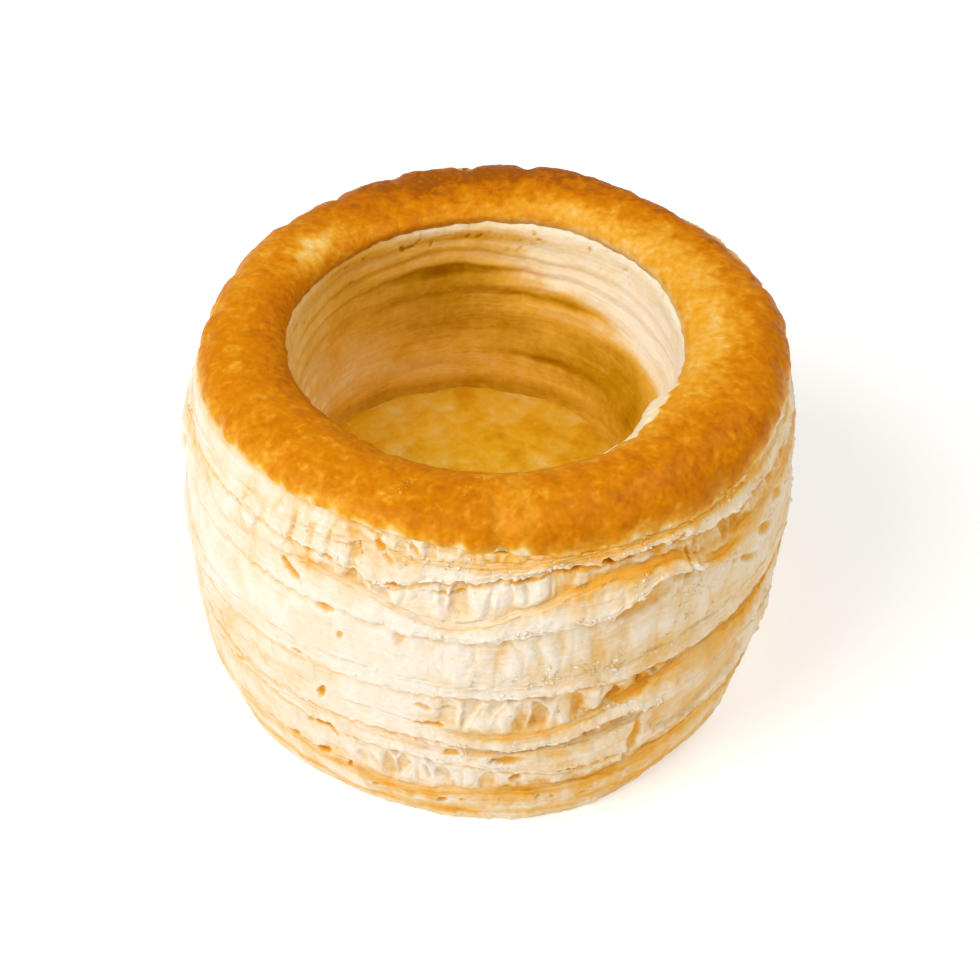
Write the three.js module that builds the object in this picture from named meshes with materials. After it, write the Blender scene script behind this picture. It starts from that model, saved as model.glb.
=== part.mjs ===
import * as THREE from 'three';

// Vol-au-vent: an empty case of puff pastry, baked and ready to fill. Millimetres, +Z up, -Y the front.
// The origin is the centre of the base. The case is one solid: puffed leaves stacked into a barrel,
// a glazed crown on top of them, and a deep well whose floor is the pressed-down lid.
// A bearing is in degrees round the case, 0 at the front and 90 on the +X side.

// Driving dimensions
const HEIGHT = 53;
const FOOT_RADIUS = 36.9;
const BELLY_RADIUS = 40.1;
const NECK_RADIUS = 38.3;
const BELLY_LEVEL = 0.5;          // share of the height where the barrel is widest
const NECK_LEVEL = 0.85;
const BARREL_POWER = 2.2;         // how fast the barrel closes in towards foot and neck
const LEAN = 0.6;                 // how far the crown stands to +X of the foot

const FOOT_ROUNDING = 1.2;
const LEAF_EDGE = 0.8;            // thickness of a leaf's bottom edge
const CRACK_DEPTH = 0.9;          // under a leaf's edge
const CRACK_HEIGHT = 0.25;

const CROWN_EDGE_RADIUS = 37.4;
const CREST_RADIUS = 31.9;
const INNER_LIP_RADIUS = 25.2;
const CROWN_EDGE_LEVEL = 48.6;    // lower edge of the glazed crust
const INNER_LIP_LEVEL = 50.5;
const CROWN_BULGE = 0.82;         // under 1 fills the crown's section out towards a square
const CROWN_STEPS = 5;            // steps on each side of the crest

const WELL_TOP_RADIUS = 24.6;
const WELL_FLOOR_RADIUS = 22.6;
const WELL_FLOOR_LEVEL = 21;
const WELL_FLOOR_SHIFT = [-3.4, 1];   // X and Y: the lid sank to one side
const FLOOR_DOME = 1.2;

const COLUMNS = 72;

// Leaves from the foot up. Each has the level of its bottom edge, and sways [bearing, spread, rise] in
// degrees, degrees and millimetres where it rose more or less than the rest. proud is how far the edge
// stands out, waves [count, size, bearing] the small unevenness of it, and fades [count, share, bearing]
// how it stands out and sinks back on its way round.
const LEAVES = [
  { level: 7.6, sways: [[-42, 14, 2.0], [-14, 9, -1.7], [40, 15, 3.8], [-150, 30, 1.2]],
    proud: 0.4, waves: [9, 0.2, 15], fades: [2, 0.6, 70] },
  { level: 15.2, sways: [[-55, 14, 1.4], [-9, 6, -1.2], [14, 9, 1.6], [62, 20, 3.4], [170, 30, -1.4]],
    proud: 0.5, waves: [13, 0.2, 40], fades: [3, 0.6, 0] },
  { level: 22, sways: [[5, 12, -2.8], [48, 18, 4.0], [130, 24, 2.0], [-120, 28, -1.4]],
    proud: 0.6, waves: [11, 0.25, 5], fades: [2, 0.7, 45] },
  { level: 29, sways: [[-12, 12, -1.1], [34, 14, 1.8], [62, 16, 3.0], [-110, 26, 1.6], [170, 24, -1.2]],
    proud: 0.3, waves: [14, 0.2, 70], fades: [3, 0.8, 150] },
  { level: 37.2, sways: [[-7, 10, -1.7], [33, 12, 3.6], [56, 14, 1.4], [-130, 30, -1.6], [150, 26, 1.4]],
    proud: 0.6, waves: [10, 0.25, 25], fades: [2, 0.5, 20] },
  { level: 44.4, sways: [[-20, 10, -1.4], [16, 12, 1.0], [-75, 18, 1.0], [140, 26, -1.2]],
    proud: 0.3, waves: [12, 0.2, 55], fades: [3, 0.8, 20] },
];
const CROWN_EDGE_SWAYS = [[-38, 30, 1.3], [2, 6, -0.8], [34, 14, -0.9], [160, 40, -0.6]];

// Slow unevenness of the outline: [lobes, size, bearing of one lobe]
const FOOT_LOBES = [[2, 1.0, -50], [3, 0.65, 20]];
const CROWN_LOBES = [[3, 0.3, 52], [7, 0.2, 10], [11, 0.3, 4], [16, 0.25, 0]];
const CREST_LUMPS = [[5, 0.25, 30], [9, 0.25, 8], [14, 0.2, 2]];
const WELL_LOBES = [[2, 0.3, 30], [5, 0.25, 70], [9, 0.15, 0]];
const FLOOR_LUMPS = [[3, 0.3, 20], [7, 0.25, 0]];

// Ledges down the well: [share of the depth, how far the wall stands in there]
const WELL_LEDGES = [[0.03, 0.5], [0.1, -0.2], [0.2, 0.1], [0.26, -0.5], [0.33, 0.2], [0.4, -0.4],
  [0.52, 0.1], [0.66, 0.3], [0.8, 0.1], [0.92, 0.5]];

function sway(level, sways, bearing) {
  return sways.reduce((sum, [centre, spread, rise]) => {
    const away = THREE.MathUtils.euclideanModulo(bearing - centre + 180, 360) - 180;
    return sum + rise * Math.exp(-0.5 * (away / spread) ** 2);
  }, level);
}

function lobes(list, bearing) {
  return list.reduce((sum, [count, size, centre]) =>
    sum + size * Math.cos(THREE.MathUtils.degToRad(count * (bearing - centre))), 0);
}

// Radius of the barrel at a height, before the edges and cracks of the leaves
function barrel(bearing, z) {
  const share = z / HEIGHT;
  const closing = share < BELLY_LEVEL
    ? (BELLY_RADIUS - FOOT_RADIUS) * ((BELLY_LEVEL - share) / BELLY_LEVEL) ** BARREL_POWER
    : (BELLY_RADIUS - NECK_RADIUS) * ((share - BELLY_LEVEL) / (NECK_LEVEL - BELLY_LEVEL)) ** BARREL_POWER;
  const foot = (1 - share) * lobes(FOOT_LOBES, bearing);
  const crown = share * lobes(CROWN_LOBES, bearing);
  return BELLY_RADIUS - closing + foot + crown;
}

// A station is [radius, height, shift in X, shift in Y]
function leaning(radius, z) {
  return [radius, z, LEAN * (z / HEIGHT - 0.5), 0];
}

// One leaf: its bottom edge overhangs the leaf below, and its face falls back to the crack above
function leafStations(bearing, leaf, top) {
  const edge = sway(leaf.level, leaf.sways, bearing);
  const span = top - edge;
  const proud = leaf.proud * (1 + lobes([leaf.fades], bearing)) + lobes([leaf.waves], bearing);
  const crack = CRACK_DEPTH * (1 + lobes([leaf.fades], bearing));
  const at = (offset, z) => leaning(barrel(bearing, z) + offset, z);
  return [
    at(proud, edge),
    at(0.9 * proud, edge + LEAF_EDGE),
    at(0.3 * proud, edge + 0.4 * span),
    at(-0.35 * crack, edge + 0.78 * span),
    at(-crack, top - CRACK_HEIGHT),
  ];
}

// Both sides of the crest: a rounded quarter from the crust's outer edge, another down to the inner lip
function crownStations(bearing, edge) {
  const crest = HEIGHT + lobes(CREST_LUMPS, bearing);
  const outer = CROWN_EDGE_RADIUS + lobes(CROWN_LOBES, bearing);
  const quarter = (side, radius, level) => Array.from({ length: CROWN_STEPS }, (_, step) => {
    const angle = (Math.PI / 2) * (side > 0 ? step : step + 1) / CROWN_STEPS;
    const out = Math.abs(side > 0 ? Math.cos(angle) : Math.sin(angle)) ** CROWN_BULGE;
    const up = Math.abs(side > 0 ? Math.sin(angle) : Math.cos(angle)) ** CROWN_BULGE;
    return leaning(CREST_RADIUS + side * radius * out, level + (crest - level) * up);
  });
  return [
    ...quarter(1, outer - CREST_RADIUS, edge),
    leaning(CREST_RADIUS, crest),
    ...quarter(-1, CREST_RADIUS - INNER_LIP_RADIUS - lobes(WELL_LOBES, bearing), INNER_LIP_LEVEL),
  ];
}

// The ledges of the well narrow towards the floor, which the sunken lid fills with a low dome
function wellStations(bearing) {
  const depth = INNER_LIP_LEVEL - WELL_FLOOR_LEVEL;
  const walls = WELL_LEDGES.map(([share, inward]) => {
    const radius = THREE.MathUtils.lerp(WELL_TOP_RADIUS, WELL_FLOOR_RADIUS, share);
    const [, , shiftX] = leaning(radius, INNER_LIP_LEVEL);
    return [
      radius - inward + lobes(WELL_LOBES, bearing),
      INNER_LIP_LEVEL - share * depth,
      THREE.MathUtils.lerp(shiftX, WELL_FLOOR_SHIFT[0], share),
      WELL_FLOOR_SHIFT[1] * share,
    ];
  });
  const floor = [0.93, 0.75, 0.45].map((share) => [
    share * WELL_FLOOR_RADIUS,
    WELL_FLOOR_LEVEL + (1 - share) * (FLOOR_DOME + lobes(FLOOR_LUMPS, bearing)),
    ...WELL_FLOOR_SHIFT,
  ]);
  return [...walls, ...floor];
}

function stations(bearing) {
  const foot = barrel(bearing, 0);
  const edges = LEAVES.map((leaf) => sway(leaf.level, leaf.sways, bearing));
  const crownEdge = sway(CROWN_EDGE_LEVEL, CROWN_EDGE_SWAYS, bearing);
  return [
    leaning(foot - FOOT_ROUNDING, 0),
    leaning(foot, FOOT_ROUNDING),
    leaning(barrel(bearing, 0.6 * edges[0]), 0.6 * edges[0]),
    leaning(barrel(bearing, edges[0]) - 0.5 * CRACK_DEPTH, edges[0] - CRACK_HEIGHT),
    ...LEAVES.flatMap((leaf, row) => leafStations(bearing, leaf, edges[row + 1] ?? crownEdge)),
    ...crownStations(bearing, crownEdge),
    ...wellStations(bearing),
  ];
}

// Columns of stations joined by quads, closed by a fan at the base and another on the well's floor
function caseGeometry() {
  const points = [];
  let rows = 0;
  for (let column = 0; column < COLUMNS; column += 1) {
    const bearing = (360 * column) / COLUMNS;
    const angle = THREE.MathUtils.degToRad(bearing);
    const list = stations(bearing);
    rows = list.length;
    for (const [radius, z, shiftX, shiftY] of list) {
      points.push(new THREE.Vector3(shiftX + radius * Math.sin(angle), shiftY - radius * Math.cos(angle), z));
    }
  }
  const baseCentre = points.push(new THREE.Vector3(0, 0, 0)) - 1;
  const floorCentre = points.push(new THREE.Vector3(...WELL_FLOOR_SHIFT, WELL_FLOOR_LEVEL + FLOOR_DOME)) - 1;
  const index = [];
  for (let column = 0; column < COLUMNS; column += 1) {
    const here = column * rows;
    const next = ((column + 1) % COLUMNS) * rows;
    index.push(baseCentre, next, here);
    for (let row = 0; row + 1 < rows; row += 1) {
      index.push(here + row, next + row, next + row + 1, here + row, next + row + 1, here + row + 1);
    }
    index.push(floorCentre, here + rows - 1, next + rows - 1);
  }
  const geometry = new THREE.BufferGeometry().setFromPoints(points);
  geometry.setIndex(index);
  geometry.computeBoundingBox();
  const middle = geometry.boundingBox.getCenter(new THREE.Vector3());
  geometry.translate(-middle.x, -middle.y, 0);
  geometry.computeVertexNormals();
  return geometry;
}

const bakedPastry = new THREE.MeshStandardMaterial({ color: 0xe8c48a, roughness: 0.62, metalness: 0 });
const pastryCase = new THREE.Mesh(caseGeometry(), bakedPastry);
pastryCase.name = 'pastry_case';

const volAuVent = new THREE.Group();
volAuVent.add(pastryCase);

export default volAuVent;
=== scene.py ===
# %% [markdown]
# # An empty vol-au-vent case
# A vol-au-vent is a cup cut out of puff pastry and baked empty. The dough is folded with butter into
# many thin layers. In the oven the butter's water turns to steam and lifts the layers apart, so that
# the wall becomes a stack of puffed leaves, each with a torn lower rim and a browned ledge on top.
# The top was brushed with egg and bakes to an orange-brown crown, and the middle was pressed down
# to make the well. This lesson builds the case leaf by leaf over the engineer's plain solid.

# %% Load the frame
import math

import bpy
import numpy as np
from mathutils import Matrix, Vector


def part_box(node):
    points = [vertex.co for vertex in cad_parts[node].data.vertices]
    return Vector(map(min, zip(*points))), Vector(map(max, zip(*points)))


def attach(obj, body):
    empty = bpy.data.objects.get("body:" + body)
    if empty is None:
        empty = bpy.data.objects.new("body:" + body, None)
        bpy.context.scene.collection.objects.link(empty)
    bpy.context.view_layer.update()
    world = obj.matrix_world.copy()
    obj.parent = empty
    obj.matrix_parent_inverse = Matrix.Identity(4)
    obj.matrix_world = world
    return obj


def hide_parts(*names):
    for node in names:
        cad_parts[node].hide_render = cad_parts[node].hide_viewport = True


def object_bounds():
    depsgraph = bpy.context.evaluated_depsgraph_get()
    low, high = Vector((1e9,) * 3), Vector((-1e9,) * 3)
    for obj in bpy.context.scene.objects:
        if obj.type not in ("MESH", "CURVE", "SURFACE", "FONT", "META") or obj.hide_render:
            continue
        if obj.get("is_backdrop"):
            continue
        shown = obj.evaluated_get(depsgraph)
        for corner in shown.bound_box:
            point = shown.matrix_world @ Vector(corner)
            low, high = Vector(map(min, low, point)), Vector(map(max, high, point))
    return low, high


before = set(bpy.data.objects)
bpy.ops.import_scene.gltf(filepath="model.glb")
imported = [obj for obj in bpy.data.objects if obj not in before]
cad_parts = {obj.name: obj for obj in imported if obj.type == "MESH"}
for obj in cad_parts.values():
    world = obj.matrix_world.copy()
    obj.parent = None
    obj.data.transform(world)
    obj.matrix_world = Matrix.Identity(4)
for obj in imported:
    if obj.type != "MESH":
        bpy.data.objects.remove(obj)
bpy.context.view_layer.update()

CASE = "pastry_case"
MM = 0.001
case_low, case_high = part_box(CASE)
HEIGHT = round(case_high.z / MM)
print(f"the case is {(case_high.x - case_low.x) / MM:.1f} mm wide and {HEIGHT} mm high")

# %% [markdown]
# ## Where the middle is
# Everything on the case is told by a bearing round it (0 at the front, 90 at +X), a distance from
# the middle and a height, all in degrees and millimetres. The solid's base is closed by a fan of
# triangles, so its centre vertex is the middle of the foot, and the case is laid out round that.

# %% The middle of the foot
base_points = [vertex.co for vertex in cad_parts[CASE].data.vertices if vertex.co.z < 1e-6]
MIDDLE = min(base_points, key=lambda co: co.xy.length).copy()
COLUMNS = 1320
BEARINGS = np.arange(COLUMNS) * 360 / COLUMNS
print(f"middle of the foot at {MIDDLE.x / MM:.2f}, {MIDDLE.y / MM:.2f} mm, {COLUMNS} columns round it")

# %% [markdown]
# ## Noise that wraps round
# Baked dough is uneven at every size. Blender has noise textures, but here the shape itself has to
# follow the noise row by row, so a small gradient noise is written for whole arrays of points.
# It is read at the points' own places in space, which makes it meet itself behind the case, and a
# size for each axis stretches it, for ribs that stand upright or layers that lie flat.

# %% Noise helpers
def noise(points, size, seed):
    """Smooth noise from about -1 to 1 at points in mm. size is that of a blob, one number or three."""
    dice = np.random.default_rng(seed)
    order = dice.permutation(256).astype(np.int32)
    slopes = dice.normal(size=(256, 3)).astype(np.float32)
    slopes /= np.linalg.norm(slopes, axis=1, keepdims=True)
    scaled = (points / np.asarray(size)).astype(np.float32)
    cell = np.floor(scaled).astype(np.int32)
    inside = scaled - cell
    ease = inside**3 * (inside * (inside * 6 - 15) + 10)
    total = np.zeros(points.shape[:-1], np.float32)
    for corner in np.ndindex(2, 2, 2):
        corner = np.array(corner)
        x, y, z = np.moveaxis((cell + corner) & 255, -1, 0)
        slope = slopes[order[(order[(order[x] + y) & 255] + z) & 255]]
        weight = np.prod(np.where(corner, ease, 1 - ease), axis=-1)
        total += weight * np.sum(slope * (inside - corner), axis=-1)
    return 1.6 * total


def rough(points, size, seed, octaves=3):
    """Noise with finer noise on it, each finer by half and weaker by half."""
    size = np.asarray(size, float)
    return sum(noise(points, size / 2**k, seed + k) / 2**k for k in range(octaves))


def smooth(low, high, value):
    """0 below low, 1 above high and an even S between."""
    t = np.clip((value - low) / (high - low), 0, 1)
    return t * t * (3 - 2 * t)


def mix(a, b, share):
    """Goes from a to b as share goes from 0 to 1."""
    return a + (b - a) * share


def hump(bearing, centre, spread):
    """1 at one bearing, falling away on both sides of it."""
    away = (bearing - centre + 180) % 360 - 180
    return np.exp(-0.5 * (away / spread) ** 2)


def sway(level, sways, bearing):
    """A level that rises or sinks at some bearings: sways are (bearing, spread, rise)."""
    return level + sum(rise * hump(bearing, centre, spread) for centre, spread, rise in sways)


trial = noise(np.linspace((0, 0, 0), (90, 70, 50), 500), 5, 1)
print(f"along a trial line the noise runs from {trial.min():.2f} to {trial.max():.2f}")

# %% [markdown]
# ## Torn bubbles
# Between two leaves the dough was pulled apart by steam, and the thin walls of the bubbles stay
# as upright webs with hollows between them. A cell pattern gives just that: points are scattered
# on a band, and each place looks up its nearest point. Where the nearest two are equally near is
# a web, and a number drawn for each cell says whether it burst into a hollow or stayed a pillow.

# %% Cell pattern
def cells(turn, level, count, seed, lines=4):
    """Cells on a band that closes on itself. turn runs 0 to 1 round it and level is in cell heights.
    Gives how much further the second nearest point is than the nearest, and the cell's draw."""
    draws = np.random.default_rng(seed).random((lines, count, 3))
    across = turn * count
    column, line = np.floor(across).astype(int), np.floor(level).astype(int)
    nearest = np.full(across.shape, 9.0)
    second, draw = nearest.copy(), np.zeros(across.shape)
    for step_x in (-1, 0, 1):
        for step_y in (-1, 0, 1):
            point = draws[(line + step_y) % lines, (column + step_x) % count]
            away = np.hypot(column + step_x + point[..., 0] - across,
                            line + step_y + point[..., 1] - level)
            closer = away < nearest
            second = np.where(closer, nearest, np.minimum(second, away))
            draw = np.where(closer, point[..., 2], draw)
            nearest = np.where(closer, away, nearest)
    return second - nearest, draw


trial = cells(np.linspace(0, 1, 500), np.zeros(500), 12, 1)[0]
print(f"{np.mean(trial < 0.2):.0%} of a trial line through the cells lies on webs")

# %% [markdown]
# ## The barrel
# The wall swells to a belly at half height, closes in at the neck and closes in more at the foot.
# It isn't round: the foot is a little oval and three-cornered, because the dough shrank unevenly.
# The few sizes are those of the solid and a hair more, so that the skin lies on the solid.

# %% Barrel
FOOT_RADIUS, BELLY_RADIUS, NECK_RADIUS = 37.1, 40.35, 38.5
BELLY_LEVEL, NECK_LEVEL = 0.5 * HEIGHT, 0.85 * HEIGHT
CLOSING_POWER = 2.2
LEAN = 0.6                                    # how far the crown stands to +X of the foot
FOOT_LOBES = [(2, 1.0, -50), (3, 0.65, 20)]   # count, size, bearing of one lobe
CROWN_LOBES = [(3, 0.3, 52)]
TUCKS = [(-25, 14, 0.7), (38, 11, 1.0), (150, 25, 0.8), (-130, 20, 1.0)]   # where the foot shrank back
TUCK_HEIGHT = 2.6
SWELLS = [  # bearing, height, spread in degrees, spread in mm, how far out
    (84, 34, 14, 3.4, -1.1), (66, 22, 10, 3.2, -1.0), (92, 47, 18, 4, -0.6), (-84, 34, 15, 4.5, -0.8),
    (-75, 19, 9, 3.2, -0.8), (-58, 12, 8, 2, -0.5), (22, 1, 14, 4, 0.5), (-96, 47.5, 9, 3, -1.0),
    (-81, 40, 5, 2.5, 0.6), (-63, 1, 4, 2, -0.8), (79, 17, 4.5, 2.5, -0.9), (68, 5.5, 6, 4, -1.1),
]


def lobes(waves, bearing):
    """Even waves round the case."""
    return sum(size * np.cos(np.radians(count * (bearing - centre))) for count, size, centre in waves)


def barrel(bearing, z):
    """Radius of the wall at a height, before the relief of the leaves."""
    below = np.clip((BELLY_LEVEL - z) / BELLY_LEVEL, 0, 1) ** CLOSING_POWER
    above = np.clip((z - BELLY_LEVEL) / (NECK_LEVEL - BELLY_LEVEL), 0, 1.3) ** CLOSING_POWER
    share = z / HEIGHT
    tuck = sway(0, TUCKS, bearing) * np.exp(-np.maximum(z, 0) / TUCK_HEIGHT)
    swell = sum(out * hump(bearing, centre, spread) * np.exp(-0.5 * ((z - level) / reach) ** 2)
                for centre, level, spread, reach, out in SWELLS)
    return (BELLY_RADIUS - (BELLY_RADIUS - FOOT_RADIUS) * below - (BELLY_RADIUS - NECK_RADIUS) * above
            + (1 - share) * lobes(FOOT_LOBES, bearing) + share * lobes(CROWN_LOBES, bearing) - tuck + swell)


def around(bearing, radius, z):
    """Points in mm from bearing, radius and height, upright and centred on the middle of the foot."""
    angle = np.radians(bearing)
    return np.stack(np.broadcast_arrays(radius * np.sin(angle), -radius * np.cos(angle), z), axis=-1)


print(f"foot {FOOT_RADIUS} mm, belly {BELLY_RADIUS} mm and neck {NECK_RADIUS} mm from the middle")

# %% [markdown]
# ## Seams
# A leaf starts at a torn rim, and its browned ledge starts at its slab's top. Those lines run
# round the case as seams which rise and sink a few millimetres where a part puffed more. Every
# seam has its level and its own sways on the front, where they matter most, and noise adds
# the wander of the back and small waves all round.

# %% Seams
SEAMS = {
    "foot_rim": (0.0, []),
    "foot_top": (7.6, [(-42, 14, 0.8), (-15, 9, -1.6), (46, 12, 3.2)]),
    "second_rim": (14.8, [(-52, 10, 1.8), (14, 13, -3.4), (41, 11, -2.4), (74, 10, 1.2)]),
    "second_top": (17.0, [(-3, 7, -1.3), (18, 7, -0.9), (45, 13, 3.4)]),
    "terrace_rim": (18.4, [(4, 8, -1.6), (24, 5, 1.2), (30, 3, -0.6), (46, 14, 3.0)]),
    "terrace_top": (22.2, [(4, 11, -3.4), (30, 6, 0.4), (46, 15, 3.8)]),
    "crumbly_rim": (26.7, [(-60, 20, -0.6), (50, 20, 0.3)]),
    "crumbly_top": (29.0, [(-5, 12, -0.8), (55, 14, 1.2)]),
    "belly_rim": (37.4, [(-6, 9, -1.6), (20, 8, 0.5), (32, 6, 3.7), (52, 12, 0.8)]),
    "belly_top": (41.0, [(-74, 7, 4.0), (-56, 6, -1.0), (-34, 8, 1.0), (-8, 9, -3.0), (25, 8, 2.5),
                         (34, 3, 1.0), (43, 5, -1.7)]),
    "neck_rim": (44.4, [(-19, 4, -1.6), (10, 6, 1.4), (27, 9, 1.3), (42, 5, -0.2)]),
    "neck_top": (46.6, [(-22, 5, 1.2), (-12, 6, -0.3), (25, 14, 0.2)]),
    "crust_edge": (48.7, [(-38, 26, 1.6), (0, 4, -0.5), (13, 11, -1.3), (38, 13, -1.6), (66, 8, 0.4),
                          (170, 30, -0.8)]),
}
WANDER, WANDER_LENGTH = 2.2, 26               # of the seams on the back, mm
WAVES = [(0.32, 9), (0.22, 3), (0.1, 1.2)]    # height and length of the small waves
TEETH = [(0.34, 1.5), (0.2, 0.6)]             # and of the torn teeth on the rims
LEAST_GAP = 0.5                               # from one seam to the next


def seam_heights():
    """The height of every seam at each bearing, never closer to the one below than the least gap."""
    back = smooth(80, 110, np.abs((BEARINGS + 180) % 360 - 180))
    heights, below = {}, -LEAST_GAP
    for number, (name, (level, sways)) in enumerate(SEAMS.items()):
        ring = around(BEARINGS, BELLY_RADIUS, level)
        wander = WANDER * back * noise(ring, WANDER_LENGTH, 300 + number)
        sizes = WAVES + TEETH * name.endswith("rim")
        waves = sum(size * noise(ring, length, 320 + 7 * number + k)
                    for k, (size, length) in enumerate(sizes))
        free = level > 0                      # the foot's rim stays on the floor
        below = np.maximum(sway(level, sways, BEARINGS) + free * (wander + waves), below + LEAST_GAP)
        heights[name] = below
    return heights


seams = seam_heights()
for name, heights in seams.items():
    print(f"{name}: {heights.min():.1f} to {heights.max():.1f} mm up")

# %% [markdown]
# ## Leaves
# Each leaf is a closed ring. Its section starts inside the wall, runs out along the underside,
# turns round the torn rim, climbs the slab's pale face, crosses the browned ledge and climbs the
# hollows behind it up under the next rim. A loft through such sections is a plain grid, so it is
# made straight from arrays. The relief is strong at the front right and weak at the left, where
# the leaves baked on to each other.

# %% Leaves
LEAVES = {
    # stand: how far the rim stands out, and over: where it does so more; slope: how much of that the face
    # loses on its way up; sink: how far the hollows lie back; bubble, puff, deep and open: width of a
    # bubble, how far a whole one swells, how deep a burst one is and how many burst; gold: how brown its
    # ledge is; lined: how far thin layers show on its face; calm: where it baked on to the next one and
    # its relief fades; rows: of the face and of the hollows
    "foot": dict(stand=0.2, over=[(40, 14, -0.1)], slope=0.45, sink=0.35, bubble=1.6, puff=0.22,
                 deep=0.55, open=0.35, gold=0.8, lined=1.0, rows=(26, 20),
                 calm=[(-78, 20, -0.8), (-46, 12, -0.8), (14, 8, -0.3), (42, 12, -0.8)]),
    "second": dict(stand=0.3, over=[(16, 9, 0.25)], slope=0.45, sink=0.3, bubble=1.9, puff=0.3,
                   deep=0.6, open=0.2, gold=0.7, lined=0.6, rows=(16, 24),
                   calm=[(-68, 26, -0.95), (-36, 9, -0.6), (-20, 8, -0.3), (43, 12, -0.95)]),
    "terrace": dict(stand=0.3, over=[(42, 15, 0.8)], slope=0.75, sink=0.25, bubble=2.4, puff=0.35,
                    deep=1.0, open=0.45, gold=0.9, lined=0.6, rows=(16, 24),
                    calm=[(-62, 27, -0.97), (-20, 9, -0.8)]),
    "crumbly": dict(stand=0.22, over=[(20, 12, 0.1), (50, 18, -0.14)], slope=0.6, sink=0.03, bubble=3.4,
                    puff=0.2, deep=0.3, open=0.08, gold=0.35, lined=0.7, rows=(16, 24),
                    calm=[(-50, 32, -0.97), (64, 22, -0.9)]),
    "belly": dict(stand=0.32, over=[(29, 11, 0.9), (-10, 10, 0.1)], slope=0.7, sink=0.3, bubble=2.2,
                  puff=0.4, deep=0.6, open=0.2, gold=1.0, lined=0.5, rows=(16, 24),
                  calm=[(-85, 34, -0.9), (-42, 8, -0.3)]),
    "neck": dict(stand=0.12, over=[(30, 20, 0.15)], slope=0.5, sink=0.05, bubble=1.7, puff=0.2,
                 deep=0.4, open=0.2, gold=0.7, lined=0.7, rows=(16, 24), calm=[(-60, 26, -0.85)]),
}
NEXT_RIM = dict(zip(LEAVES, [*(f"{name}_rim" for name in list(LEAVES)[1:]), "crust_edge"]))
RELIEF = {name: np.clip(sway(1, leaf["calm"], BEARINGS), 0.05, 1) for name, leaf in LEAVES.items()}
STAND = {name: sway(leaf["stand"], leaf["over"], BEARINGS) * RELIEF[name] for name, leaf in LEAVES.items()}
for name, stand in STAND.items():
    print(f"the {name} leaf's rim stands {stand.min():.2f} to {stand.max():.2f} mm out")

# %% Section of a leaf
WALL = 7.0              # to the hidden inside of a leaf
UNDERCUT = 1.4          # how far the underside runs in behind the hollows
NOSE = 0.2              # radius of the torn rim
NOSE_ARC = (-75, 50)    # from where to where it is rounded, in degrees up from level
LEDGE_RISE = 0.7        # of the ledge, from its edge to the hollows
TUCKED_IN = 0.35        # how far the top runs in under the next rim
PARTS = {"inside": 1, "underside": 3, "nose": 6, "face": 0, "ledge": 7, "hollows": 0, "tuck": 3}   # rows


def leaf_section(name, leaf, seed):
    """The plain section of a leaf at every bearing, as rows of the section by columns of bearing: how
    far out and how high each point is, its share of its own part, and 1 for each part where it is on."""
    rim, top, lid = seams[f"{name}_rim"], seams[f"{name}_top"], seams[NEXT_RIM[name]]
    relief, stand = RELIEF[name], STAND[name]
    sink = leaf["sink"] * relief
    nose = NOSE * (0.2 + 0.8 * relief)
    parts = {**PARTS, "face": leaf["rows"][0], "hollows": leaf["rows"][1]}
    t = {part: np.linspace(0, 1, rows)[:, None] for part, rows in parts.items()}
    turn = np.radians(mix(*NOSE_ARC, t["nose"]))
    rise = LEDGE_RISE * (1 + 0.6 * noise(around(BEARINGS, BELLY_RADIUS, 0 * top), 8, seed + 5))
    shelf = np.minimum(top + rise * (0.2 + 0.8 * relief), lid - 0.1)
    climb = 1 - (1 - t["hollows"]) ** 1.3
    offset = {
        "inside": -WALL + 0 * BEARINGS[None],
        "underside": mix(-sink - UNDERCUT, stand - nose, t["underside"]),
        "nose": stand - nose + nose * np.cos(turn),
        "face": stand * (1 - leaf["slope"] * t["face"]),
        "ledge": mix(stand * (1 - leaf["slope"]), -sink, smooth(-0.1, 1, t["ledge"])),
        "hollows": -sink * (1 + 0.25 * np.sin(np.pi * t["hollows"])),
        "tuck": mix(-sink - 0.4, -WALL, t["tuck"] ** 2),
    }
    height = {
        "inside": rim + 0.6,
        "underside": rim + nose * (1.6 - 1.5 * t["underside"]),
        "nose": rim + nose + nose * np.sin(turn),
        "face": mix(rim + 2 * nose, top, t["face"]),
        "ledge": mix(top, shelf, t["ledge"]),
        "hollows": mix(shelf, lid + 0.2, climb),
        "tuck": lid + TUCKED_IN + 0.25 * t["tuck"],
    }
    part = np.concatenate([np.full(rows, index) for index, rows in enumerate(parts.values())])[:, None]
    out, z = (np.concatenate([np.broadcast_to(side[key], (rows, COLUMNS)) for key, rows in parts.items()])
              for side in (offset, height))
    share = np.concatenate([t[key] for key in parts])
    on = {key: (part == index).astype(float) for index, key in enumerate(parts)}
    return out, z, share, on, shelf, lid


print(f"besides its face and its hollows a leaf's section has {sum(PARTS.values())} rows")

# %% Bubbles of a leaf
BUBBLE_HEIGHT = 2.6     # of a bubble, in widths of it


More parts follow.
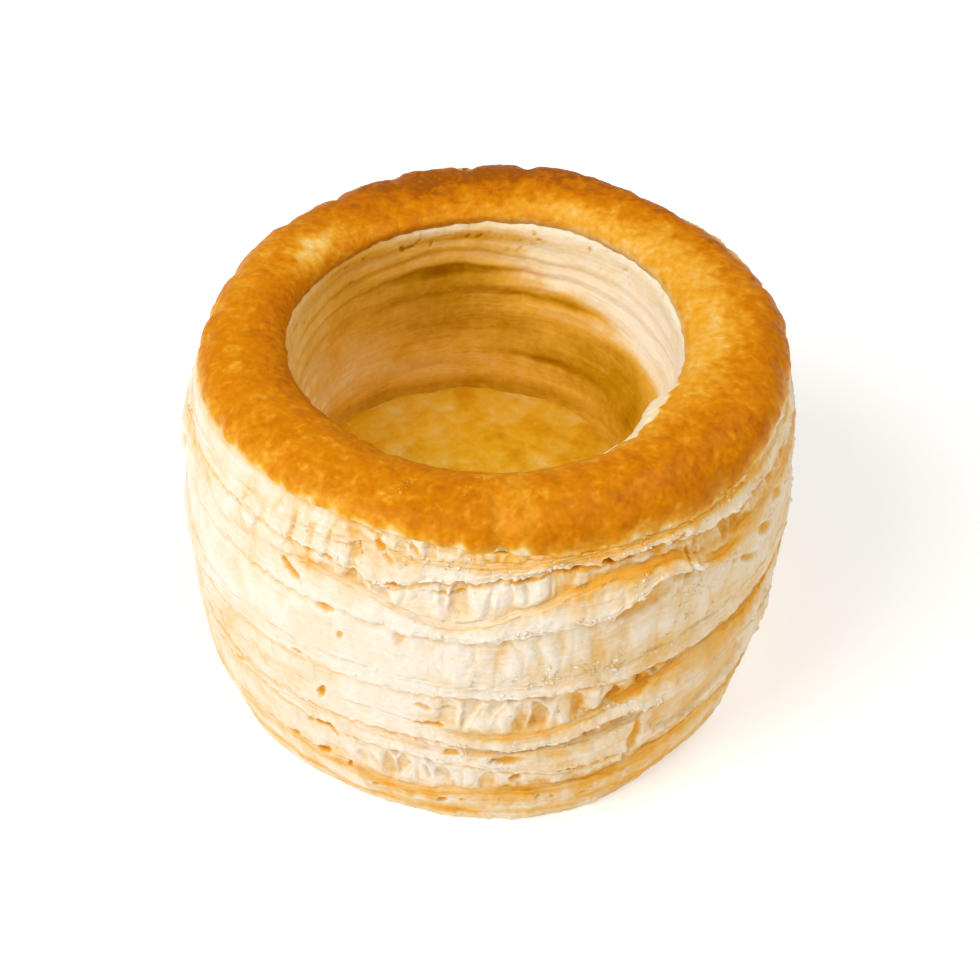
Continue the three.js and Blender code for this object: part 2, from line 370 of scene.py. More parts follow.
def bubbles(leaf, points, share, room, seed):
    """Where the hollows' pillows are, the crevices between them, and those that burst, each 0 to 1.
    room is the height the pillows have."""
    bend = rough(points, (3, 3, 5), seed, 2) * 0.4
    count = round(2 * np.pi * BELLY_RADIUS / leaf["bubble"])
    tall = np.maximum(room, 0.5) / (BUBBLE_HEIGHT * leaf["bubble"])
    gap, draw = cells(BEARINGS / 360 + bend / count, share * tall + 0.35 * bend, count, seed)
    burst = smooth(1 - leaf["open"] - 0.15, 1 - leaf["open"] + 0.15, draw)
    ends = smooth(0, 0.15, share) * (1 - 0.3 * smooth(0.85, 1, share))
    hollow = smooth(0.05, 0.35, gap) * burst * ends
    pillow = smooth(0.02, 0.5, gap) * (1 - burst) * ends
    crevice = (1 - smooth(0.0, 0.22, gap)) * (1 - burst) * ends
    return hollow, pillow, crevice


for name, leaf in LEAVES.items():
    print(f"{name}: bubbles {leaf['bubble']} mm wide, of which {leaf['open']:.0%} burst")

# %% [markdown]
# ## How a leaf browned
# Dough browns where it is dry and hot: on the ledges, which face up, and on the bottoms of the burst
# bubbles. Steam kept the torn faces pale. Such colour could be painted on, but here each point gets one
# number, from 0 for cream to 1 for brown. It is worked out from the same parts and the same noise as
# the point's relief, so that the colour always sits on its shape. Part of that number is painted shade:
# the cracks under each rim, the hollows just under the next rim, and the burst bubbles and crevices are
# made browner, and swelling lumps and pillows paler, where light and shade would fall on them.

# %% Relief and browning of a leaf
HIDDEN = 0.4            # how much further the shade under a rim reaches than the rim stands out


def leaf_grid(name, leaf, seed):
    """How far out, height, browning and points of a leaf, and its layers: heights as they were before
    the leaf's seams began to sway."""
    out, z, share, on, shelf, lid = leaf_section(name, leaf, seed)
    relief, rim = RELIEF[name], seams[f"{name}_rim"]
    points = around(BEARINGS, barrel(BEARINGS, z), z)
    layers = mix(rim.mean(), lid.mean(), (z - rim) / (lid - rim))
    found = bubbles(leaf, points, share, lid - shelf, seed)
    hollow, pillow, crevice = (on["hollows"] * grid for grid in found)
    out = out + relief * (leaf["puff"] * pillow - leaf["deep"] * hollow)

    # upright ripples on everything, and a torn edge that comes and goes
    ripple = rough(points, (1.7, 1.7, 4), seed + 10)
    lump = noise(points, (3.5, 3.5, 4.5), seed + 15)
    grain = rough(points, 0.8, seed + 20, 2)
    torn = rough(points, (1.0, 1.0, 3), seed + 30, 2)
    skin = 0.2 * ripple * (0.3 + 0.7 * relief) + 0.2 * lump + 0.08 * grain
    out = out + (on["face"] + on["hollows"]) * skin
    out = out + (on["nose"] + on["face"] * smooth(0.35, 0, share)) * relief * (0.22 * torn + 0.12 * lump)

    # edges of the thin layers, as fine broken lines along the ledge and the face
    sheets = noise(points * (1, 1, 0) + (share * 2.4)[..., None] * (0, 0, 1), (7, 7, 0.42), seed + 40)
    flat = np.stack([points[..., 0], points[..., 1], layers + 0 * z], -1)
    layer_lines = noise(flat, (9, 9, 0.55), seed + 60)
    golden = 0.62 + 0.38 * smooth(-0.5, 0.5, noise(points, (11, 11, 4), seed + 50))
    lined = leaf["lined"] * on["face"] * smooth(0, 0.15, share) * (0.2 + 0.8 * relief)
    z = z + on["ledge"] * 0.1 * sheets * relief
    out = out + on["ledge"] * (0.18 * sheets * relief + 0.1 * torn) + 0.16 * lined * layer_lines

    # the heat reached the ledge and what stands out, and steam kept the rest pale. On top of that comes
    # painted shade: the inside, underside and tuck rows in the cracks under the rims are browner, and so
    # are the hollows just under the next rim and, partly as painted shade, their foot behind the ledge
    low_down = smooth(0.3, 0, share)
    shaded = STAND.get(NEXT_RIM[name].removesuffix("_rim"), 0.3) * 1.05 + HIDDEN
    # painted shade: the hollows are browner just under the next rim, as far down as its shadow would reach
    painted_rim_shade = smooth(shaded + 0.5, shaded, lid - z)
    baked_on = 0.2 * (1 - relief) * golden * smooth(1.1, 0.1, lid - z)
    bare = leaf["gold"] * (0.1 + 0.9 * relief)
    # painted shade and light: faces and hollows are paler where a lump swells out and browner where it sinks
    browning = (on["inside"] * 0.3 + on["underside"] * 0.46 + on["tuck"] * 0.5
                + on["nose"] * (0.04 + 0.12 * np.maximum(torn, 0))
                + on["face"] * (0.09 + 0.26 * share**2.2 * golden * bare
                                + 0.05 * ripple + 0.05 * grain - 0.12 * lump)
                + on["ledge"] * (0.08 + (0.3 * golden + 0.14 * sheets) * bare + 0.05 * ripple)
                + on["hollows"] * (0.1 + (0.26 * painted_rim_shade + 0.2 * low_down * golden) * bare + baked_on
                                   - 0.04 * ripple - 0.12 * lump))
    # burst bubbles are browner, partly their own browning and partly painted shade; crevices between pillows
    # are browner and pillows paler as painted shade, by the strength of the relief
    browning = browning + relief * (0.22 * hollow + 0.12 * crevice - 0.06 * pillow)
    return out, z, browning - 0.1 * lined * layer_lines, points, layers


print(f"a rim shades the hollows below it {HIDDEN} mm further than it stands out")

# %% [markdown]
# ## Pits and hollow panels
# Here and there a bubble burst right through the skin and left a small hole with a golden bottom, and
# in a few places a whole patch of a leaf tore off and left a shallow panel with a torn edge. They are
# too irregular for a pattern, so they are pressed in one by one where they sit: bearing, height, length
# and width, how many degrees the length is turned up from level, depth, and how brown the bottom is.

# %% Pits and panels
PITS = [
    (-37.2, 40.1, 3.6, 1.3, -42, 0.9, 0.5), (-30, 36.7, 2.2, 1.2, -8, 0.6, 0.34),
    (-16.5, 35.2, 1.9, 1.5, -70, 0.5, 0.26), (-27, 33, 1.3, 0.9, 60, 0.5, 0.32),
    (-31, 21.6, 2, 1, 75, 0.9, 0.55), (-32.5, 14.6, 3.4, 1.3, 14, 1, 0.55),
    (-53, 16.7, 2.2, 0.8, 35, 0.6, 0.42), (-33, 8.7, 2, 0.9, 5, 0.7, 0.45),
    (-40, 8.8, 1.6, 0.7, 8, 0.5, 0.36), (-17.5, 42.8, 2.4, 0.5, 6, 0.7, 0.42),
    (-12, 24.2, 1.6, 0.8, 0, 0.5, 0.32), (-11, 21, 3.2, 0.6, -4, 0.5, 0.42),
    (-27, 7.5, 1.2, 0.8, 70, 0.6, 0.35), (-20, 47.7, 4.2, 1, -50, 0.5, 0.3),
    (-13.5, 48.3, 2, 0.9, -40, 0.6, 0.34), (-8, 42.5, 5, 0.4, 4, 0.4, 0.3),
    (-30, 14, 2.6, 0.6, -55, 0.5, 0.3), (-36, 26.8, 1.4, 0.7, 10, 0.4, 0.22),
    (-8, 24.2, 3, 0.7, 8, 0.4, 0.22), (-22, 5.4, 1.2, 0.7, 0, 0.6, 0.34),
    (-9, 4.9, 1.1, 0.8, 20, 0.7, 0.36), (-5, 5.2, 0.8, 0.6, 0, 0.6, 0.34),
    (9, 5.6, 0.9, 0.7, 40, 0.7, 0.38), (12, 5, 0.8, 0.6, -30, 0.7, 0.38),
    (18, 4.2, 1.4, 0.5, 0, 0.5, 0.3), (2.6, 15.1, 3.9, 1.5, -2, 0.8, 0.42),
    (4.8, 10.2, 1.5, 1.2, 70, 0.9, 0.48), (-7, 15.7, 1.8, 0.8, 0, 0.5, 0.34),
    (27, 14.2, 7.4, 1.2, 82, 1, 0.36), (41.5, 16.2, 18, 6, 6, 0.8, 0.1),
    (45, 42.3, 11, 3.6, -2, 0.7, 0.11), (25, 24.2, 5.6, 3, 28, 0.45, 0.18),
    (14, 23.8, 3, 4.2, 0, 0.5, 0.14), (6, 44.9, 5, 0.6, 14, 0.5, 0.38),
    (13.5, 45.6, 3.6, 0.5, -4, 0.5, 0.34), (20.5, 45.7, 1.6, 0.6, 0, 0.8, 0.5),
    (24, 45.5, 1.3, 0.5, 0, 0.7, 0.42), (29, 45.8, 2.8, 0.6, 0, 0.7, 0.42),
    (34.5, 45.7, 1.5, 0.6, 0, 0.8, 0.46), (52, 35, 5.6, 1, -30, 0.7, 0.3),
    (59, 36.3, 4.2, 1.6, -38, 0.8, 0.34), (15, 15.5, 6.5, 2.2, 6, 0.4, 0.06),
    (36, 40.8, 5, 0.7, 84, 0.6, 0.2), (37.6, 41, 5.6, 0.9, 86, -0.6, -0.1),
    (18, 11.4, 9, 0.5, 2, 0.5, 0.24), (63, 39.5, 3, 1.2, -30, 0.6, 0.3),
    (27.5, 38.7, 9, 2.8, 20, 0.5, 0.16),
]
PUFFS = [  # the same with a depth below 0: pillows that swelled out between neck and crust
    (-40, 45.4, 5.6, 2.8, 84, -1.2, -0.04), (-35.5, 45.8, 4.6, 2.2, 96, -1.0, -0.04),
    (-31.5, 45.8, 5.4, 2.0, 80, -1.1, -0.04), (-27.5, 46.2, 5.0, 2.4, 88, -1.2, -0.04),
    (-22.5, 44.6, 3.4, 2.2, 100, -0.8, -0.03), (-48, 44.6, 5.0, 3.0, 70, -0.7, -0.03),
]
BACK_PITS = 26
LEAST_PIT, GREATEST_PIT = (75, 5, 1.2, 0.6, -40, 0.5, 0.25), (290, 47, 4, 1.6, 40, 1, 0.42)
BACK_PANELS = [
    (104, 32, 16, 4.5, 4, 0.7, 0.12), (138, 17, 20, 4, -5, 0.8, 0.14), (176, 38, 14, 3.6, 3, 0.7, 0.12),
    (214, 24, 18, 5, 4, 0.8, 0.12), (248, 40, 12, 3.4, -4, 0.6, 0.12),
]
pit_dice = np.random.default_rng(41)
back_pits = [tuple(round(float(value), 2) for value in pit_dice.uniform(LEAST_PIT, GREATEST_PIT))
             for _ in range(BACK_PITS)]
PITS = [*PITS, *PUFFS, *back_pits, *BACK_PANELS]
print(f"{len(PITS)} pits and panels")

# %% Press them in
def press_pits(out, z, browning, points):
    """Dents with a brown bottom and a pale torn edge, their outline bent by noise. A panel is square
    and has bays, and a pit is round."""
    ragged = 0.45 * rough(points, 1.2, 77, 3)
    bays = 0.28 * noise(points, 4.5, 78)
    wobble = 0.6 * noise(points, 3.2, 79)
    for bearing, level, long, wide, turn, depth, brown in PITS:
        if np.abs(z - level).min() > long:
            continue
        along = ((BEARINGS - bearing + 180) % 360 - 180) * np.pi / 180 * BELLY_RADIUS
        angle = math.radians(turn)
        across = np.abs((z - level) * math.cos(angle) - along * math.sin(angle) + wobble) / (wide / 2)
        lengthwise = np.abs(along * math.cos(angle) + (z - level) * math.sin(angle)) / (long / 2)
        square = 2 if wide < 2 else 3
        away = (across**square + lengthwise**square) ** (1 / square)
        away = away + ragged / min(wide, 2) + bays * (wide >= 3)
        soft = min(0.5, 0.6 / wide)
        dent = smooth(1 + soft, 1 - soft, away)
        edge = np.exp(-0.5 * ((away - 1 - 1.3 * soft) / soft) ** 2)
        out = out - 0.5 * depth * dent + 0.12 * abs(depth) * edge
        browning = browning + brown * dent + (0.09 if depth < 0 else -0.06) * edge
    return out, browning


print(f"the widest panel is {max(pit[2] for pit in PITS)} mm long")

# %% [markdown]
# ## Tints
# The oven browned the foot, which was nearest to the hot tray, and the upward-facing steps. Soft
# patches, each told by bearing, height and reach, add to or take from the browning which the leaves
# already have. Some of them are painted light and shade: the wide browner patches on the right, from
# bearing 38 to 75 and low down at 38, paint the shade of the side turned from the light, and the paler
# patches on the left paint its light, which leaves the left side nearly white.

# %% Tints
# the browner patches on the right are painted shade, and the paler ones on the left painted light
TINTS = [  # bearing, height, spread in degrees, spread in mm, how much browner
    (42, 23.8, 14, 1.9, 0.15), (58, 24.8, 12, 1.4, 0.1), (28, 47, 26, 0.7, 0.26),
    (30, 43.4, 12, 0.7, 0.2), (45, 12, 20, 4, 0.07), (10, 19.4, 12, 1, 0.12), (-80, 28, 26, 12, -0.06),
    (-30, 30, 24, 6, -0.05), (45, 41, 9, 2.4, 0.03), (180, 24, 40, 6, 0.05), (130, 38, 25, 4, 0.08),
    (64, 30, 24, 16, 0.07), (75, 30, 30, 16, 0.02), (32, 9, 20, 2.5, 0.08), (24, 29, 10, 1.4, 0.1),
    (14, 45.6, 12, 0.6, 0.12), (43, 39.6, 7, 0.5, 0.22), (-20, 18, 30, 6, 0.02), (-58, 18, 20, 8, 0.06),
    (-72, 44, 8, 1.5, 0.16), (66, 44.2, 9, 0.9, 0.18), (38, 30, 20, 10, 0.06), (16, 13, 14, 3, 0.1),
    (-70, 22, 20, 10, 0.06), (-5, 27, 14, 6, -0.05), (38, 4, 14, 4, 0.13), (-12, 11, 14, 4, -0.06),
    (24, 38, 16, 8, 0.03), (-5, 38, 9, 1.6, -0.08), (47, 43, 4, 1.8, -0.1),
]
FOOT_BROWNING, FOOT_REACH = 0.11, 4.4               # how much browner the foot is, and how high up
FOOT_LINES = [(2.6, 0.9, 0.15), (6.8, 1.1, 0.18)]   # height, spread and how much browner
FOOT_STREAKS = (4.9, 1.2, 0.14)                     # and how much paler the streaks between them are


def tint(browning, z, points):
    """Adds the soft patches, and the lines and streaks of the foot, which follow its top seam."""
    for centre, level, spread, reach, more in TINTS:
        patch = hump(BEARINGS, centre, spread) * np.exp(-0.5 * ((z - level) / reach) ** 2)
        browning = browning + more * patch
    patchy = 1 + 0.6 * noise(points, (5, 5, 1.6), 91) + 0.5 * noise(points, (7, 7, 0.6), 93)
    browning = browning + FOOT_BROWNING * patchy * smooth(1.9 * FOOT_REACH, 0.8 * FOOT_REACH, z)
    foot_top = SEAMS["foot_top"][0]
    risen = seams["foot_top"] - foot_top
    bend = 0.5 * noise(points, (6, 6, 3), 94)
    for level, spread, more in FOOT_LINES:
        away = (z - level - risen * level / foot_top + bend) / spread
        browning = browning + more * patchy * np.exp(-0.5 * away**2)
    streaks = smooth(-0.1, 0.5, noise(points, (2.0, 2.0, 4), 95))
    level, spread, paler = FOOT_STREAKS
    browning = browning - paler * streaks * np.exp(-0.5 * ((z - level) / spread) ** 2)
    return np.clip(browning + 0.05 * noise(points, 9, 92), 0, 1)


print(f"{len(TINTS)} soft patches, and {len(FOOT_LINES)} lines round the foot")

# %% [markdown]
# ## From grid to ring
# A grid of radius and height closes in two ways, round the case and along the section, so every
# edge has two faces and the mesh is a sound solid. Its browning and its layers go along as
# attributes on the points, which the finishes read, so the colour follows the shape.

# %% Ring solid
BROWNING, LAYERS = "browning", "layers"
triangles = {}


def finished(mesh, name, finish):
    """Wraps a mesh as a piece which rides with the case and stands for the solid."""
    mesh.shade_smooth()
    if finish.name not in mesh.materials:
        mesh.materials.append(finish)
    piece = bpy.data.objects.new(name, mesh)
    bpy.context.scene.collection.objects.link(piece)
    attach(piece, "root")
    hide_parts(CASE)
    triangles[name] = sum(len(face.vertices) - 2 for face in mesh.polygons)
    print(f"{name}: {triangles[name]} triangles")


def standing(points):
    """Leans upright points and moves them to the middle of the foot, in metres."""
    placed = points * MM
    placed[..., 0] += MIDDLE.x + LEAN * MM * (points[..., 2] / HEIGHT - 0.5)
    placed[..., 1] += MIDDLE.y
    return placed


def quads(rows, columns, closed):
    """Faces of a grid that closes round the case, and along its section too if it is a closed one."""
    row, column = np.meshgrid(np.arange(rows if closed else rows - 1), np.arange(columns), indexing="ij")
    right, up = (column + 1) % columns, (row + 1) % rows
    corners = [(row, column), (row, right), (up, right), (up, column)]
    return np.stack([r * columns + c for r, c in corners], axis=-1).reshape(-1, 4)


def store(mesh, label, values):
    """Writes a number for each point, as an attribute."""
    attribute = mesh.attributes.get(label) or mesh.attributes.new(label, "FLOAT", "POINT")
    attribute.data.foreach_set("value", values.ravel().astype(np.float32))


def ring_solid(name, points, browning, layers, finish):
    """A piece from a grid of points, with its browning and its layers."""
    mesh = bpy.data.meshes.new(name)
    mesh.from_pydata(standing(points).reshape(-1, 3), [], quads(*browning.shape, closed=True))
    store(mesh, BROWNING, np.clip(browning, 0, 1))
    store(mesh, LAYERS, layers * MM)
    finished(mesh, name, finish)


print(f"a ring of 100 rows has {len(quads(100, COLUMNS, closed=True))} faces")

# %% [markdown]
# ## Finishes
# One dough makes all of the case, so the crumb, crust and floor share one recipe: the browning
# attribute, broken up by fine noise, runs through a ramp of colours from cream through straw and
# gold to brown. Light goes a little way into the pale crumb, which the subsurface part of the
# shader gives. The crown was brushed with egg, so it is smoother than the crumb and shines a little.

# %% Node helpers
def put(tree, kind, inputs=(), **settings):
    """Adds a node. inputs maps a socket's name or number to a value or to the socket to link."""
    node = tree.nodes.new(kind)
    for key, value in settings.items():
        setattr(node, key, value)
    for key, value in dict(inputs).items():
        if isinstance(value, bpy.types.NodeSocket):
            tree.links.new(value, node.inputs[key])
        else:
            node.inputs[key].default_value = value
    return node


def linear(red, green, blue):
    """A colour of 0 to 255 as the shader counts it."""
    def one(value):
        value /= 255
        return value / 12.92 if value <= 0.04045 else ((value + 0.055) / 1.055) ** 2.4
    return (one(red), one(green), one(blue), 1)


def ramp(tree, value, stops):
    """A colour ramp. stops are (place, colour)."""
    node = put(tree, "ShaderNodeValToRGB", {0: value})
    band = node.color_ramp
    while len(band.elements) < len(stops):
        band.elements.new(0.5)
    for element, (place, colour) in zip(band.elements, stops):
        element.position, element.color = place, linear(*colour)
    return node.outputs[0]


def math_node(tree, operation, a, b, clamp=False):
    return put(tree, "ShaderNodeMath", {0: a, 1: b}, operation=operation, use_clamp=clamp).outputs[0]


print(f"a grey of 128 is {linear(128, 128, 128)[0]:.3f} to the shader")

# %% Colours
CRUMB_STOPS = [(0.0, (240, 230, 215)), (0.15, (237, 218, 189)), (0.32, (232, 196, 138)),
               (0.5, (232, 172, 68)), (0.72, (226, 146, 24)), (1.0, (186, 106, 8))]
WELL_STOPS = [(0.0, (250, 243, 225)), (0.15, (246, 231, 196)), (0.32, (236, 201, 126)),
              (0.5, (228, 177, 62)), (0.72, (190, 138, 8)), (1.0, (136, 80, 0))]
CRUST_STOPS = [(0.0, (236, 224, 194)), (0.25, (230, 194, 118)), (0.5, (224, 160, 42)),
               (0.72, (205, 124, 0)), (0.88, (186, 104, 0)), (1.0, (154, 82, 0))]
FLOOR_STOPS = [(0.0, (230, 202, 134)), (0.3, (224, 180, 68)), (0.55, (219, 165, 26)),
               (0.8, (205, 142, 14)), (1.0, (172, 104, 6))]
print(f"crumb from {CRUMB_STOPS[0][1]} to {CRUMB_STOPS[-1][1]}, crust to {CRUST_STOPS[-1][1]}")

# %% Dough recipe
GLOW_DEPTH, GLOW_COLOUR = 0.7, (1.0, 0.6, 0.35)   # how far light goes into the crumb, in mm, by colour


def dough(name, stops, blotch, speck, grain, roughness, glow, gloss, sheets=None):
    """A finish. Clouds add to the browning or take from it: blotch and speck are (size in mm, how
    much). grain is the skin's roughness as (size in mm, depth in mm), glow is how much light goes into
    the crumb, and gloss how much the surface throws back. sheets are the edges of thin layers as
    (length, thickness and depth in mm, how much browner)."""
    material = bpy.data.materials.new(name)
    material.use_nodes = True
    tree = material.node_tree
    tree.nodes.clear()
    place = put(tree, "ShaderNodeTexCoord").outputs["Object"]
    value = put(tree, "ShaderNodeAttribute", attribute_name=BROWNING).outputs["Fac"]

    def cloud(size, at=place, **inputs):
        inputs = {"Vector": at, "Scale": 1 / (size * MM), **inputs}
        return put(tree, "ShaderNodeTexNoise", inputs).outputs["Fac"]

    def added(to, fac, amount):
        centred = math_node(tree, "SUBTRACT", fac, 0.5)
        return math_node(tree, "ADD", to, math_node(tree, "MULTIPLY", centred, 2 * amount), clamp=True)

    for size, amount in (blotch, speck):
        value = added(value, cloud(size, Detail=3.0), amount)
    height = math_node(tree, "MULTIPLY", cloud(grain[0], Detail=4.0, Roughness=0.6), grain[1] * MM)
    if sheets:
        length, thickness, depth, browner = sheets
        flat = put(tree, "ShaderNodeSeparateXYZ", {0: place}).outputs
        layers = put(tree, "ShaderNodeAttribute", attribute_name=LAYERS).outputs["Fac"]
        stretched = math_node(tree, "MULTIPLY", layers, length / thickness)
        stacked = put(tree, "ShaderNodeCombineXYZ", {0: flat[0], 1: flat[1], 2: stretched}).outputs[0]
        sheet = cloud(length, stacked, Detail=2.0)
        value = added(value, sheet, browner)
        height = math_node(tree, "SUBTRACT", height, math_node(tree, "MULTIPLY", sheet, depth * MM))
    skin = put(tree, "ShaderNodeBump", {"Height": height, "Distance": 1.0, "Strength": 1.0})
    shader = put(tree, "ShaderNodeBsdfPrincipled", {
        "Base Color": ramp(tree, value, stops), "Normal": skin.outputs[0], "Roughness": roughness,
        "IOR": 1.45, "Specular IOR Level": gloss, "Subsurface Weight": glow,
        "Subsurface Radius": GLOW_COLOUR, "Subsurface Scale": GLOW_DEPTH * MM})
    put(tree, "ShaderNodeOutputMaterial", {"Surface": shader.outputs[0]})
    return material


print(f"light goes {GLOW_DEPTH} mm into the crumb")

# %% Finishes
crumb_finish = dough("pale crumb", CRUMB_STOPS, (5, 0.12), (0.8, 0.10), (0.45, 0.12), 0.62, 0.3, 0.12,
                     sheets=(6, 0.45, 0.1, 0.11))
well_finish = dough("well crumb", WELL_STOPS, (4, 0.10), (1.0, 0.07), (0.5, 0.08), 0.65, 0.35, 0.06,
                    sheets=(9, 0.6, 0.12, 0.06))
crust_finish = dough("egg-washed crust", CRUST_STOPS, (5, 0.12), (0.8, 0.17), (0.5, 0.06), 0.38, 0.08,
                     0.08)
floor_finish = dough("well floor", FLOOR_STOPS, (3.5, 0.2), (0.9, 0.2), (0.8, 0.14), 0.6, 0.25, 0.06)
print("finishes:", ", ".join(m.name for m in (crumb_finish, well_finish, crust_finish, floor_finish)))

# %% [markdown]
# ## The leaves themselves
# Each leaf's grid gets its pits and tints and becomes a ring. Its outer rows are kept, because the
# crumbs and shreds are strewn on them later.

# %% Make the leaves
LEAF_SEED = 100
FOOT_GAP = 0.02                   # the lowest points stand this much over the floor, in mm
skins, tones, rims = [], [], []   # the outer rows of every leaf, their browning, and where its rim is
for number, (name, leaf) in enumerate(LEAVES.items()):
    out, z, browning, points, layers = leaf_grid(name, leaf, LEAF_SEED + 10 * number)
    out, browning = press_pits(out, z, browning, points)
    browning = tint(browning, z, points)
    surface = around(BEARINGS, barrel(BEARINGS, z) + out, np.maximum(z, FOOT_GAP))
    ring_solid(f"{name}_leaf", surface, browning, layers, crumb_finish)
    outer_rows = slice(PARTS["inside"] + PARTS["underside"], -PARTS["tuck"])
    skins.append(surface[outer_rows])
    tones.append(browning[outer_rows])
    on_rim = np.zeros(skins[-1].shape[:2])
    on_rim[:PARTS["nose"] + 3] = RELIEF[name] * (name != "foot")
    rims.append(on_rim)

# %% [markdown]
# ## The crown
# The glazed crust is a fat ring, rounded like a tyre and flatter outside than inside. Its section
# is two quarters of a rounded square which meet at the crest. Folds pinch its outer edge where
# the cutter dragged the dough. The relief is laid on along the section's own normal, so that it
# stands up on the crest and out at the sides.

# %% Sizes of the crown
CREST_RADIUS, CREST_LEVEL = 31.9, HEIGHT
CRUST_RADIUS, LIP_RADIUS = 37.7, 24.9
LIP_LEVEL = 50.2
SQUARENESS = 0.95     # under 1 fills a round quarter out towards a square
OUTER_STEPS, INNER_STEPS = 36, 32
NOTCHES = [  # bearing, depth, width in degrees
    (2, 0.6, 1.2), (20, 0.35, 1.6), (47, 0.4, 2), (78, 0.4, 1.4), (91, 0.4, 1.6), (104, 0.6, 1.2),
    (115, 0.6, 1.4), (132, 0.5, 1.6), (144, 0.5, 1.2), (152, 0.6, 1.4), (172, 1.1, 1.5), (186, 1.1, 1.4),
    (202, 0.6, 1.2), (217, 0.5, 1.2), (231, 0.6, 1.4), (251, 0.5, 1.4), (265, 0.5, 1.2), (296, 0.4, 1.6),
    (326, 0.3, 1.8),
]
FRONT_FOLD = (0.5, 1.0, 0.35)                 # a fold up over the crust: bearing, width and depth
CRUST_SHRINK = [(-80, 22, -0.7), (35, 14, 0.3), (135, 26, -2.0), (-150, 30, -0.6), (-102, 8, -0.7),
                (97, 7, 0.4)]
CREST_SINKS = [(140, 16, -0.6), (-160, 22, -1.1), (160, 8, 0.4)]
LIP_SHIFTS = [(-85, 32, 1.3), (100, 30, -0.9), (5, 30, 1.6)]
TORN_TAB = (53, 8, -1.9)                      # a shred of bare crumb that hangs over the well
print(f"the crust reaches from {LIP_RADIUS} to {CRUST_RADIUS} mm out, {len(NOTCHES)} folds pinch its edge")

# %% Section of the crown
def crown_section():
    """Two quarters from the crust's outer edge over the crest to the inner lip, as radius and height.
    Three rows more on each side run in under the crust and close the ring."""
    edge = seams["crust_edge"]
    ring = around(BEARINGS, CREST_RADIUS, CREST_LEVEL)
    outer = sway(CRUST_RADIUS, CRUST_SHRINK, BEARINGS) + lobes(CROWN_LOBES, BEARINGS)
    outer = outer + 0.25 * noise(ring, 7, 401)
    crest = sway(CREST_LEVEL, CREST_SINKS, BEARINGS) + 0.3 * noise(ring, 14, 402) + 0.12 * noise(ring, 5, 403)
    lip = sway(LIP_RADIUS, [*LIP_SHIFTS, TORN_TAB], BEARINGS)
    lip = lip + 0.2 * noise(ring, 11, 404) + 0.12 * noise(ring, 2.5, 405)
    rise = np.radians(90 * np.linspace(0, 1, OUTER_STEPS))[:, None]
    fall = np.radians(90 * np.linspace(0, 1, INNER_STEPS))[1:, None]
    radius = [
        outer - 5, outer - 2.5, outer - 0.5,
        CREST_RADIUS + (outer - CREST_RADIUS) * np.cos(rise) ** SQUARENESS,
        CREST_RADIUS + (lip - CREST_RADIUS) * np.sin(fall) ** SQUARENESS,
        lip + 0.15, lip + 1.2, lip + 4,
    ]
    height = [
        edge + 0.9, edge + 0.5, edge - 0.1,
        edge + (crest - edge) * np.sin(rise) ** SQUARENESS,
        LIP_LEVEL + (crest - LIP_LEVEL) * np.cos(fall) ** SQUARENESS,
        LIP_LEVEL - 0.8 + 0 * edge, LIP_LEVEL - 1.4 + 0 * edge, LIP_LEVEL - 1.4 + 0 * edge,
    ]
    return np.vstack(radius), np.vstack(height)


def outward(radius, height):
    """The section's own normal at each point of the grid."""
    along_r = np.roll(radius, -1, 0) - np.roll(radius, 1, 0)
    along_z = np.roll(height, -1, 0) - np.roll(height, 1, 0)
    length = np.maximum(np.hypot(along_r, along_z), 1e-6)
    return along_z / length, -along_r / length


radius, height = crown_section()
side, up = outward(radius, height)
points = around(BEARINGS, radius, height)
print(f"{len(radius)} rows from the crust's edge to the lip")

# %% Relief of the crust
to_edge = smooth(CREST_RADIUS, CRUST_RADIUS, radius)
pinch = sum(depth * hump(BEARINGS, centre, wide) for centre, depth, wide in NOTCHES)
blister = rough(points, 2.2, 410)
fine = noise(points, 0.7, 415)
spokes = np.stack([points[..., 0], points[..., 1], 0 * height], -1) / np.maximum(radius, 1)[..., None]
folds = noise(spokes * 34, 1.9, 416)
relief = 0.13 * blister + 0.04 * fine + 0.1 * folds * (0.3 + 0.7 * to_edge) - pinch * to_edge
centre, wide, depth = FRONT_FOLD
relief = relief - depth * hump(BEARINGS, centre, wide) * smooth(30, 33, radius)
wisps = smooth(0.3, 0.0, np.abs(rough(points, (2.0, 2.0, 1.4), 431, 3)))
wisps = wisps * smooth(0.1, 0.6, noise(points, 2.2, 436))
wisps = wisps * (0.4 + 0.6 * hump(BEARINGS, -15, 55))
relief = relief + 0.06 * wisps
print(f"the crust is lifted by {relief.max():.2f} mm and pinched by {-relief.min():.2f} mm")

# %% [markdown]
# ## How the crust browned
# It is brownest on the crest and paler in flecks, along its outer edge where the egg stopped, and
# at the lip, where the cutter bared the crumb. The lip's inner side is made paler still on the right,
# which faces the light, and a little browner on the left, which is in shade: that is painted light and
# shade. At a few bearings the lip tore and shows bare crumb in a ragged strip. The back stood nearer
# to the heat.

# %% Colour of the crust
CRUST_BROWNING = 0.75
LEAST_GOLD = 0.22     # the palest the crust gets inside the crest
BARE_BROWNING, BARE_DEPTH = 0.06, 0.25   # of the bare strips, and how deep they lie
PALE_LIPS = [  # bearing, spread in degrees, and to which radius
    (29, 5, 27.6), (38, 6, 27.1), (46, 7, 26.5), (54, 7, 25.8), (62, 5, 25.3), (-16, 3.5, 26.7),
]
